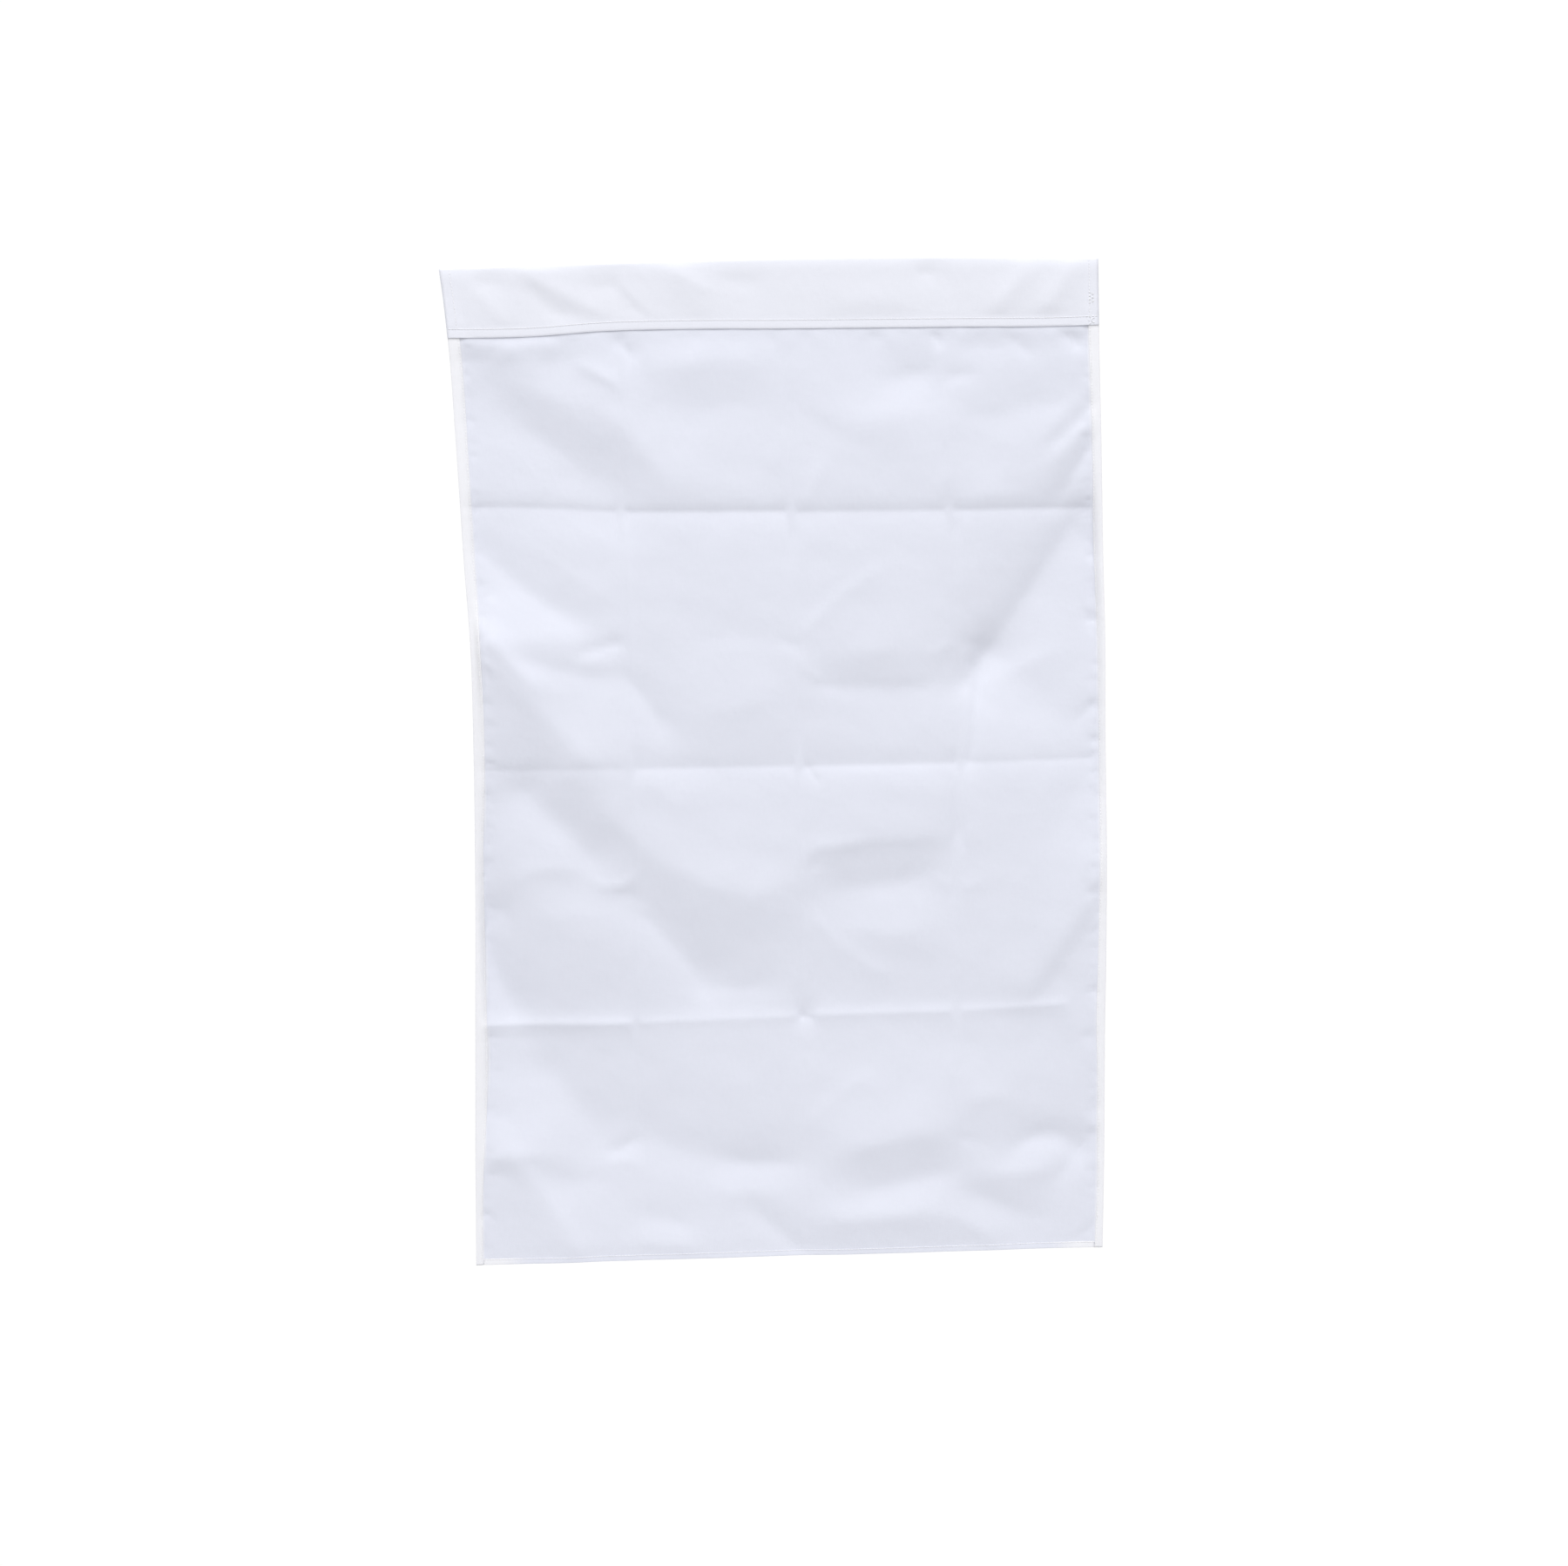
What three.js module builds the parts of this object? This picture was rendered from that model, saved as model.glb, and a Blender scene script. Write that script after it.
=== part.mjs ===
// A plain white garden flag, hanging from the pole that its top sleeve takes. Millimetres, +Z up, +X to the
// viewer's right and the viewer at -Y. The origin is on the middle of the top edge, over the pole's centre plane.
// Heights in the tables and in the functions are measured from the line through the two top corners, and each
// finished point is lowered by CORNER_DROP.
import * as THREE from "three";

// Cloth
const CLOTH = 1.2;             // thickness that a layer takes up, with its weave and fine crumple
const GAP = 0.3;               // between the panel and the sleeve
const HEM_EXTRA = 0.9;         // how much more a hem stands towards the viewer
const HEM_TURN = 2.5;          // width over which the hem's inner edge drops to the single cloth
const SIDE_HEM = 13;
const BOTTOM_HEM = 7;

// Outline
const TOP_CROWN = 5.5;         // the top edge's middle above the line through its corners
const CORNER_DROP = TOP_CROWN;
const TOP_LEFT = { x: -356, sag: 3 };    // sag: how far the corner lies below the middle of the top edge
const TOP_RIGHT = { x: 356, sag: 7.5 };
const BOTTOM_LEFT = -1092.5;
const BOTTOM_RIGHT = -1088;
const BOTTOM_HALF = 350;

// Sleeve
const SLEEVE_FRONT = 1.9;      // how far the middle of the nearly flat front layer stands out
const SLEEVE_LEAN = 1.12;      // less at its fold, growing over this depth
const SLEEVE_LEAN_DEPTH = 4.5;
const SLEEVE_DIP = 0.35;       // and less again from this depth down to the crown
const SLEEVE_DIP_FROM = 8;
const SLEEVE_BACK = 13;        // how far the back layer bells out, over a rod of up to about 8 mm
const SLEEVE_CROWN = 26;       // the depth at which it stands back the furthest
const TOP_ROUND = 1.4;         // the front's rounded edge along the fold
const SLEEVE_FOLD_DEPTH = 0.65; // the depth of the sleeve's folds, as a share of their listed depth
const SLEEVE_FOLD_FADE = 6;    // and how far from the top and the seam they reach it
const LIP = 9.5;               // the turned edge below the stitch row
const SEAM_ABOVE = 3;          // the two layers are one from here above the stitch row
const SEAM_BELOW = 1.5;        // to here below it
const SLOT = 0.4;              // the tunnel's width where it ends at the seam

// Fades
const LIP_CLEAR = 1;           // the panel stays flat behind the lip and this far below it
const LIP_FADE = 26;           // its folds then grow to their full depth over this length
const HEM_FADE = 4;            // and its hems to their full thickness over this one
const TIP_STRENGTH = 1.7;      // how strongly a fold dies away at its two ends
const TIP_POWER = 1.5;         // and how suddenly

// The side edges of the whole flag: height, left and right.
const SIDES = table(["height", "left", "right"], [
  [6, -356, 356],
  [-30, -352, 356],
  [-73, -348.5, 356],
  [-175, -344, 357],
  [-317, -339, 358],
  [-412, -334.5, 359],
  [-510, -335, 358],
  [-650, -338, 357.5],
  [-845, -344, 353],
  [-960, -347.5, 351],
  [-1095, -351, 347],
]);

// The sleeve's lower edge, a little uneven.
const LIP_LINE = table(["x", "height"], [
  [-360, -71],
  [-260, -71.5],
  [-180, -67.5],
  [-80, -67.3],
  [10, -69],
  [110, -70.3],
  [205, -71.5],
  [300, -73],
  [360, -72.5],
]);

// Creases that the folded package left from side to side, as the lines that the grid's rows follow.
const CREASE_LINES = [
  table(["x", "height"], [[-350, -252], [-170, -261], [20, -265], [190, -268], [360, -268]]),
  table(["x", "height"], [[-350, -541], [-165, -542.5], [20, -543.5], [200, -544], [360, -542]]),
  table(["x", "height"], [[-350, -824], [-165, -825], [20, -820.5], [190, -818.5], [360, -806]]),
];

// A fold runs from (x1, z1) to (x2, z2), bowed by bow to its upper side. Its crest stands out towards the
// viewer by out, or back where out is negative, dies away over the widths over and under on its two sides, is
// rounded by soft, and ends over the part fade of its length.
const FOLD_COLUMNS = ["x1", "z1", "x2", "z2", "bow", "out", "over", "under", "soft", "fade"];

const CREASE_FOLDS = table(FOLD_COLUMNS, [
  [-345, -253, -166, -262, 2, -2.4, 9, 30, 1.2, 0.05],
  [-168, -262, 20, -265, 0, -2.7, 9, 18, 1.2, 0.05],
  [18, -266, 192, -268, 0, -2.3, 10, 20, 1.2, 0.05],
  [190, -268, 352, -268, 0, -2.2, 8, 16, 1.2, 0.05],
  [-338, -541, -163, -542, 0, -0.9, 7, 9, 1.2, 0.05],
  [-165, -542.5, 22, -543.5, 0, -2.8, 24, 16, 1.2, 0.05],
  [20, -544, 201, -544, 0, -3.0, 26, 12, 1.2, 0.05],
  [199, -544, 350, -542, 0, -1.3, 7, 12, 1.2, 0.05],
  [-342, -824, -165, -825, 0, 3.2, 10, 14, 1.2, 0.05],
  [-167, -825, 20, -821, 0, 1.9, 12, 12, 1.2, 0.05],
  [18, -820, 190, -819, 0, 2.0, 9, 12, 1.2, 0.05],
  [188, -819, 318, -813, 0, 2.1, 9, 14, 1.2, 0.1],
]);

const FIRST_ROW_FOLDS = table(FOLD_COLUMNS, [
  [-365, -86, -118, -278, -8, -7.5, 46, 60, 14, 0.35],
  [-295, -118, -180, -168, 4, 2.6, 22, 24, 8, 0.45],
  [-205, -125, -88, -272, 6, 5.0, 30, 30, 10, 0.4],
  [-160, -112, 10, -104, 5, 2.4, 18, 22, 7, 0.45],
  [-150, -146, 10, -150, -6, -2.0, 24, 26, 8, 0.45],
  [0, -138, 135, -214, -5, -1.4, 18, 20, 6, 0.45],
  [40, -184, 205, -176, 10, 4.0, 30, 50, 12, 0.45],
  [90, -122, 200, -124, -3, -2.4, 20, 24, 6, 0.45],
  [250, -158, 345, -150, -2, -3.0, 24, 20, 7, 0.4],
  [190, -164, 275, -166, -4, -2.0, 20, 50, 8, 0.45],
  [190, -257, 310, -252, 3, 1.2, 46, 14, 4, 0.4],
  [285, -205, 340, -140, 0, 1.5, 9, 8, 3, 0.4],
  [291, -213, 364, -143, 0, -2.2, 9, 9, 3, 0.35],
  [292, -232, 360, -160, 0, 2.2, 10, 12, 3, 0.35],
  [300, -274, 360, -174, -2, -3.0, 12, 9, 3, 0.35],
]);

const SECOND_ROW_FOLDS = table(FOLD_COLUMNS, [
  [-348, -262, -168, -404, -18, -5.4, 34, 22, 8, 0.3],
  [-360, -404, -172, -400, 3, 3.2, 34, 40, 6, 0.35],
  [-305, -412, -165, -446, -4, -2.2, 10, 26, 4, 0.4],
  [-335, -372, -250, -470, 0, 6.0, 18, 15, 5, 0.35],
  [-190, -410, -108, -528, 3, -4.2, 22, 18, 5, 0.4],
  [-125, -484, 38, -458, -4, 2.4, 40, 30, 8, 0.45],
  [-130, -402, 26, -404, 0, -1.2, 30, 12, 4, 0.4],
  [20, -428, 205, -420, 6, 2.2, 34, 18, 6, 0.45],
  [30, -452, 215, -459, -5, -3.6, 18, 60, 6, 0.4],
  [362, -238, 196, -478, 0, -13, 38, 160, 9, 0.25],
  [240, -398, 194, -480, 0, -4.5, 15, 34, 5, 0.35],
  [224, -425, 206, -560, 0, -3.2, 8, 9, 3, 0.2],
  [222, -466, 325, -416, 3, 2.6, 14, 24, 4, 0.45],
]);

// The long ridge that leaves the left hem in the second row and dies out at the middle of the third.
const LONG_RIDGE_FOLDS = table(FOLD_COLUMNS, [
  [-365, -385, -180, -570, 6, 7.5, 32, 80, 12, 0.25],
  [-225, -525, 50, -688, -58, 7.5, 56, 70, 10, 0.25],
  [-315, -535, -180, -675, 4, -9.2, 44, 36, 10, 0.3],
  [-200, -655, -65, -815, 6, -7.5, 56, 20, 10, 0.3],
  [-350, -818, 350, -812, 0, -6, 150, 150, 10, 0.1],
]);

const THIRD_ROW_FOLDS = table(FOLD_COLUMNS, [
  [-315, -664, -200, -652, 6, 2.4, 26, 12, 5, 0.4],
  [-372, -605, -280, -862, -4, -10.5, 34, 30, 8, 0.3],
  [-300, -712, -180, -706, 4, 2.4, 30, 50, 7, 0.45],
  [-112, -787, 12, -789, 0, -2.4, 20, 16, 4, 0.35],
  [22, -635, 208, -625, 4, 2.8, 80, 16, 5, 0.35],
  [15, -686, 205, -663, -2, -4.6, 28, 36, 6, 0.35],
  [40, -726, 205, -722, -6, 2.6, 26, 30, 7, 0.45],
  [369, -626, 242, -828, -9, 6.0, 44, 30, 8, 0.25],
  [374, -670, 262, -832, -3, -2.0, 18, 26, 5, 0.25],
  [285, -665, 352, -530, 0, -2.8, 28, 28, 8, 0.45],
]);

const FOURTH_ROW_FOLDS = table(FOLD_COLUMNS, [
  [-305, -835, -180, -995, 6, -8.3, 48, 48, 12, 0.35],
  [-350, -838, -262, -842, 0, -1.4, 10, 70, 4, 0.35],
  [-365, -974, -235, -972, 4, 4.2, 34, 16, 5, 0.4],
  [-330, -945, -226, -1110, 10, 4.6, 16, 40, 8, 0.25],
  [-285, -992, -190, -1004, -2, -2.0, 12, 24, 5, 0.4],
  [-190, -1034, -85, -1056, -2, -2.8, 18, 18, 5, 0.4],
  [-215, -925, 50, -990, -22, -6.6, 50, 50, 8, 0.35],
  [-90, -984, 34, -985, -2, -2.4, 14, 14, 4, 0.35],
  [-115, -1016, 30, -1016, -3, 3.0, 24, 36, 7, 0.4],
  [-195, -1070, -75, -1086, 4, 2.6, 18, 12, 5, 0.45],
  [-66, -1010, 36, -1102, -4, -3.6, 18, 16, 6, 0.35],
  [12, -976, 212, -935, -6, 7.0, 50, 32, 8, 0.4],
  [45, -1026, 215, -986, -4, -4.4, 24, 20, 8, 0.35],
  [5, -1050, 185, -1040, -3, 5.8, 26, 24, 6, 0.35],
  [175, -924, 275, -914, 4, 2.8, 36, 20, 6, 0.45],
  [232, -984, 336, -987, 20, -4.2, 20, 14, 4, 0.35],
  [178, -1000, 335, -992, -6, 3.4, 18, 18, 5, 0.4],
  [170, -1008, 305, -1066, -4, -3.8, 18, 30, 6, 0.4],
  [146, -1036, 250, -1090, 5, 3.2, 24, 14, 6, 0.4],
  [288, -1024, 338, -950, -3, -4.2, 16, 13, 4, 0.4],
]);

const PANEL_FOLDS = [
  ...CREASE_FOLDS,
  ...FIRST_ROW_FOLDS,
  ...SECOND_ROW_FOLDS,
  ...LONG_RIDGE_FOLDS,
  ...THIRD_ROW_FOLDS,
  ...FOURTH_ROW_FOLDS,
];

// Drag folds on the sleeve's front layer, which lean to the right on the left half and to the left on the right.
const SLEEVE_FOLDS = table(FOLD_COLUMNS, [
  [-330, -5, -278, -66, 0, 1.4, 9, 9, 3, 0.3],
  [-275, 4, -165, -56, -3, 2.4, 14, 7, 3, 0.3],
  [-270, -12, -200, -66, -3, -2, 8, 9, 3, 0.3],
  [-178, 2, -118, -66, -3, -2.2, 12, 10, 3, 0.3],
  [-110, -4, -62, -60, 0, 1.2, 10, 10, 4, 0.4],
  [-60, -14, 0, -22, 0, -1.4, 8, 12, 4, 0.4],
  [55, -46, 165, -46, 5, 1.5, 16, 12, 4, 0.4],
  [185, 0, 196, -40, 0, -1, 7, 7, 3, 0.4],
  [282, -2, 240, -62, 0, 1.5, 9, 12, 4, 0.35],
  [332, 2, 290, -64, 0, 1.8, 9, 12, 4, 0.35],
]);

// Grid lines across the flag, as shares of its width. The hem's inner edges and the three upright creases have
// a close line on each side.
const CREASE_SHARES = [0.255, 0.516, 0.765];
const CREASE_NEAR = 0.011;
const HEM_SHARES = [0, 0.0165, 0.0225];
const PLAIN_LINES = 7;         // between two upright creases, or a crease and a hem

// Grid lines down one row of the package, as shares of its height.
const ROW_SHARES = [0, 0.028, 0.075, 0.14, 0.215, 0.3, 0.39, 0.48, 0.57, 0.66, 0.745, 0.82, 0.885, 0.935, 0.972];

// Points around one section of the sleeve: steps down a layer, and shares of the half turn over its top.
const LAYER_STEPS = 6;
const TOP_SHARES = [0, 0.12, 0.25, 0.36, 0.44, 0.5, 0.6, 0.72, 0.86, 1];
const TOP_MIDDLE = 0.5;        // the share at the fold itself, where the front turns into the back

const ROUGHNESS = 0.75;
const WHITE = new THREE.Color().setRGB(0.89, 0.905, 0.945, THREE.SRGBColorSpace);

function table(columns, rows) {
  return rows.map((row) => Object.fromEntries(columns.map((name, i) => [name, row[i]])));
}

function mix(a, b, share) {
  return a + (b - a) * share;
}

function ease(share) {
  const s = Math.min(1, Math.max(0, share));
  return s * s * (3 - 2 * s);
}

// A smooth curve through a table's rows: a cubic between two rows, with the slopes of their neighbours.
function curve(rows, key, value, at) {
  const last = rows.length - 2;
  let i = rows.findIndex((row, n) => n <= last && (row[key] - at) * (rows[n + 1][key] - at) <= 0);
  if (i < 0) {
    i = Math.abs(rows[0][key] - at) < Math.abs(rows[last + 1][key] - at) ? 0 : last;
  }
  const before = rows[Math.max(0, i - 1)];
  const [a, b] = [rows[i], rows[i + 1]];
  const after = rows[Math.min(last + 1, i + 2)];
  const slopeA = (b[value] - before[value]) / (b[key] - before[key]);
  const slopeB = (after[value] - a[value]) / (after[key] - a[key]);
  const span = b[key] - a[key];
  const s = Math.min(1, Math.max(0, (at - a[key]) / span));
  const bend = s * (1 - s) * ((1 - s) * slopeA - s * slopeB) * span;
  return mix(a[value], b[value], ease(s)) + bend;
}

function topEdge(x) {
  const corner = x < 0 ? TOP_LEFT : TOP_RIGHT;
  return TOP_CROWN - corner.sag * (x / corner.x) ** 2;
}

function lipEdge(x) {
  return curve(LIP_LINE, "x", "height", x);
}

function stitchRow(x) {
  return lipEdge(x) + LIP;
}

function bottomEdge(x) {
  return mix(BOTTOM_LEFT, BOTTOM_RIGHT, (x + BOTTOM_HALF) / (2 * BOTTOM_HALF));
}

function acrossAt(share, height) {
  return mix(curve(SIDES, "height", "left", height), curve(SIDES, "height", "right", height), share);
}

// How far one fold moves the cloth towards the viewer at a point.
function foldOut(fold, x, height) {
  const length = Math.hypot(fold.x2 - fold.x1, fold.z2 - fold.z1);
  const along = new THREE.Vector2((fold.x2 - fold.x1) / length, (fold.z2 - fold.z1) / length);
  const upper = new THREE.Vector2(-along.y, along.x);
  if (upper.y < 0) {
    upper.negate();
  }
  const point = new THREE.Vector2(x - fold.x1, height - fold.z1);
  const share = point.dot(along) / length;
  const bowed = fold.bow * Math.max(-1, 4 * share * (1 - share));
  const off = point.dot(upper) - bowed;
  const width = off > 0 ? fold.over : fold.under;
  const pastCore = Math.max(0, Math.abs(share - 0.5) - (0.5 - fold.fade)) / fold.fade;
  const tip = TIP_STRENGTH * pastCore ** TIP_POWER;
  const rounding = (2 * fold.soft) / (fold.over + fold.under);
  const reach = Math.hypot(off / width, tip, rounding) - rounding;
  return fold.out * Math.exp(-reach);
}

function foldsOut(folds, x, height) {
  return folds.reduce((sum, fold) => sum + foldOut(fold, x, height), 0);
}

function panelOut(x, height) {
  return foldsOut(PANEL_FOLDS, x, height) * ease((lipEdge(x) - LIP_CLEAR - height) / LIP_FADE);
}

// 1 on a hem, 0 on the single cloth.
function hemShare(x, height, share) {
  const fromSide = Math.min(share, 1 - share) * (acrossAt(1, height) - acrossAt(0, height));
  const side = ease((SIDE_HEM + HEM_TURN - fromSide) / HEM_TURN);
  const bottom = ease((bottomEdge(x) + BOTTOM_HEM + HEM_TURN - height) / HEM_TURN);
  return Math.max(side, bottom) * ease((lipEdge(x) - LIP_CLEAR - height) / HEM_FADE);
}

function columnShares() {
  const stops = [HEM_SHARES.at(-1), ...CREASE_SHARES, 1 - HEM_SHARES.at(-1)];
  const shares = [...HEM_SHARES.slice(0, -1)];
  for (let i = 0; i + 1 < stops.length; i += 1) {
    const from = stops[i] + (i > 0 ? CREASE_NEAR : 0);
    const to = stops[i + 1] - (i + 2 < stops.length ? CREASE_NEAR : 0);
    for (let n = 0; n < PLAIN_LINES; n += 1) {
      shares.push(mix(from, to, n / (PLAIN_LINES - 1)));
    }
    if (i + 2 < stops.length) {
      shares.push(stops[i + 1]);
    }
  }
  return [...shares, ...HEM_SHARES.slice(0, -1).reverse().map((share) => 1 - share)];
}

function placed(x, y, height) {
  return new THREE.Vector3(x, y, height - CORNER_DROP);
}

// A mesh from points and triangles, named and coloured.
function piece(name, points, triangles, colour) {
  const geometry = new THREE.BufferGeometry().setFromPoints(points);
  geometry.setIndex(triangles.flat());
  geometry.computeVertexNormals();
  const material = new THREE.MeshStandardMaterial({ color: colour, roughness: ROUGHNESS, metalness: 0 });
  const mesh = new THREE.Mesh(geometry, material);
  mesh.name = name;
  return mesh;
}

function quad(a, b, c, d) {
  return [[a, b, c], [a, c, d]];
}

// The panel: a front and a back sheet over the same grid, joined around the rim. Its first row lies behind the
// sleeve's lower edge, and the second just below it, so that the stretch between them stays flat.
function makePanel() {
  const columns = columnShares();
  const lines = [
    (x) => stitchRow(x) - SEAM_BELOW - GAP,
    (x) => lipEdge(x) - LIP_CLEAR,
    ...CREASE_LINES.map((rows) => (x) => curve(rows, "x", "height", x)),
    bottomEdge,
  ];
  const rows = [{ band: 0, share: 0 }];
  for (let band = 1; band + 1 < lines.length; band += 1) {
    rows.push(...ROW_SHARES.map((share) => ({ band, share })));
  }
  rows.push({ band: lines.length - 2, share: 1 });
  const front = [];
  const back = [];
  for (const { band, share: down } of rows) {
    for (const across of columns) {
      const guess = mix(lines[band](0), lines[band + 1](0), down);
      const roughX = acrossAt(across, guess);
      const height = mix(lines[band](roughX), lines[band + 1](roughX), down);
      const x = acrossAt(across, height);
      const out = panelOut(x, height);
      const hem = HEM_EXTRA * hemShare(x, height, across);
      front.push(placed(x, -out - CLOTH / 2 - hem, height));
      back.push(placed(x, -out + CLOTH / 2, height));
    }
  }
  const wide = columns.length;
  const count = front.length;
  const triangles = [];
  for (let r = 0; r + 1 < rows.length; r += 1) {
    for (let c = 0; c + 1 < wide; c += 1) {
      const a = r * wide + c;
      triangles.push(...quad(a, a + wide, a + wide + 1, a + 1));
      triangles.push(...quad(count + a, count + a + 1, count + a + wide + 1, count + a + wide));
    }
  }
  const rim = rimLoop(wide, rows.length);
  rim.forEach((a, i) => {
    const b = rim[(i + 1) % rim.length];
    triangles.push(...quad(a, b, count + b, count + a));
  });
  return piece("panel", [...front, ...back], triangles, WHITE);
}

// The grid's outer points in order: along the top, down the right, back along the bottom and up the left.
function rimLoop(wide, high) {
  const loop = [];
  for (let c = 0; c + 1 < wide; c += 1) loop.push(c);
  for (let r = 0; r + 1 < high; r += 1) loop.push(r * wide + wide - 1);
  for (let c = wide - 1; c > 0; c -= 1) loop.push((high - 1) * wide + c);
  for (let r = high - 1; r > 0; r -= 1) loop.push(r * wide);
  return loop;
}

// How far the middle of the sleeve's front layer stands out at a depth below the top.
function sleeveFront(depth, seamDepth, seamMiddle) {
  const dip = SLEEVE_DIP * ease((depth - SLEEVE_DIP_FROM) / (SLEEVE_CROWN - SLEEVE_DIP_FROM));
  const face = SLEEVE_FRONT - SLEEVE_LEAN * Math.exp(-depth / SLEEVE_LEAN_DEPTH) - dip;
  return mix(face, seamMiddle, ease((depth - SLEEVE_CROWN) / (seamDepth - SLEEVE_CROWN)));
}

// How far a surface of its back layer stands back: a quarter of an ellipse, then a smooth run in to the seam.
function sleeveBack(depth, seamDepth, inset, seam) {
  const crown = SLEEVE_CROWN - inset;
  const arch = (SLEEVE_BACK - inset) * roundIn(depth - inset, crown);
  return mix(arch, seam, ease((depth - SLEEVE_CROWN) / (seamDepth - SLEEVE_CROWN)));
}

// A quarter circle's height, from 0 at its start to 1 from the length on.
function roundIn(at, length) {
  return Math.sqrt(1 - Math.min(1, Math.max(0, 1 - at / length)) ** 2);
}

// One section of the sleeve across X, as [y, height] points: the outside with the lip, and the tunnel.
function sleeveSection(across) {
  const roughX = acrossAt(across, 0);
  const top = topEdge(roughX);
  const stitch = stitchRow(acrossAt(across, lipEdge(roughX)));
  const seamTop = stitch + SEAM_ABOVE;
  const seamDepth = top - seamTop;
  const frontSeam = CLOTH / 2 + GAP + CLOTH;
  const backSeam = CLOTH / 2;
  const fold = (depth) => {
    const height = top - depth;
    const fade = ease(depth / SLEEVE_FOLD_FADE) * ease((height - seamTop) / SLEEVE_FOLD_FADE);
    return SLEEVE_FOLD_DEPTH * foldsOut(SLEEVE_FOLDS, acrossAt(across, height), height) * fade;
  };
  const middle = (depth) => sleeveFront(depth, seamDepth, frontSeam - CLOTH / 2);
  const frontOut = (depth) => -(middle(depth) + CLOTH / 2) * roundIn(depth, TOP_ROUND) - fold(depth);
  const backOut = (depth) => sleeveBack(depth, seamDepth, 0, backSeam);
  const backIn = (depth) => Math.max(sleeveBack(depth, seamDepth, CLOTH, backSeam - CLOTH), -backSeam);
  const frontIn = (depth) => {
    const free = -(middle(depth) - CLOTH / 2) * roundIn(depth - CLOTH, TOP_ROUND) - fold(depth);
    return depth > CLOTH ? Math.min(free, backIn(depth) - SLOT) : 0;
  };
  const outer = [[-frontSeam, stitch - LIP], [-frontSeam, stitch - LIP / 2], [-frontSeam, stitch]];
  const inner = [];
  const trace = (points, lowest, crown, highest, front, back) => {
    for (let i = 0; i < LAYER_STEPS; i += 1) {
      const depth = mix(lowest, crown, i / LAYER_STEPS);
      points.push([front(depth), top - depth]);
    }
    for (const share of TOP_SHARES) {
      const depth = mix(crown, highest, Math.sin(Math.PI * share));
      points.push([share <= TOP_MIDDLE ? front(depth) : back(depth), top - depth]);
    }
    for (let i = 1; i <= LAYER_STEPS; i += 1) {
      const depth = mix(crown, lowest, i / LAYER_STEPS);
      points.push([back(depth), top - depth]);
    }
  };
  trace(outer, seamDepth, SLEEVE_CROWN, 0, frontOut, backOut);
  outer.push([backSeam, stitch - SEAM_BELOW], [-backSeam - GAP, stitch - SEAM_BELOW]);
  outer.push([-backSeam - GAP, stitch - LIP]);
  trace(inner, seamDepth - SEAM_ABOVE, SLEEVE_CROWN, CLOTH, frontIn, backIn);
  return { outer, inner };
}

// The sleeve: its sections joined side by side outside and inside the tunnel, with the two ends closed.
function makeSleeve() {
  const columns = columnShares();
  const sections = columns.map(sleeveSection);
  const outerCount = sections[0].outer.length;
  const innerCount = sections[0].inner.length;
  const ring = outerCount + innerCount;
  const points = sections.flatMap(({ outer, inner }, i) =>
    [...outer, ...inner].map(([y, height]) => placed(acrossAt(columns[i], height), y, height)));
  const triangles = [];
  for (let s = 0; s + 1 < sections.length; s += 1) {
    const here = s * ring;
    for (let i = 0; i < outerCount; i += 1) {
      const j = (i + 1) % outerCount;
      triangles.push(...quad(here + i, here + ring + i, here + ring + j, here + j));
    }
    for (let i = 0; i < innerCount; i += 1) {
      const j = (i + 1) % innerCount;
      const [a, b] = [here + outerCount + i, here + outerCount + j];
      triangles.push(...quad(a, a + ring, b + ring, b).map(flip));
    }
  }
  const end = (section) => THREE.ShapeUtils.triangulateShape(
    section.outer.map(([y, height]) => new THREE.Vector2(y, height)),
    [section.inner.map(([y, height]) => new THREE.Vector2(y, height))],
  );
  const last = (sections.length - 1) * ring;
  triangles.push(...end(sections[0]).map(flip));
  triangles.push(...end(sections.at(-1)).map((triangle) => triangle.map((i) => last + i)));
  return piece("pole_sleeve", points, triangles, WHITE);
}

function flip([a, b, c]) {
  return [a, c, b];
}

const flag = new THREE.Group();
flag.add(makePanel());
flag.add(makeSleeve());

export default flag;
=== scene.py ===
"""A plain white garden flag: one hemmed cloth, folded over to the front at the top and sewn down as a pole sleeve.

Sizes in the tables and functions are millimetres. x runs to the viewer's right and out towards the viewer.
Heights are measured from the line through the flag's two top corners, and each finished point is lowered by the
crown of the top edge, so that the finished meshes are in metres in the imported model's frame.
"""

import bpy
import numpy as np
from mathutils import Matrix, Vector


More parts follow.
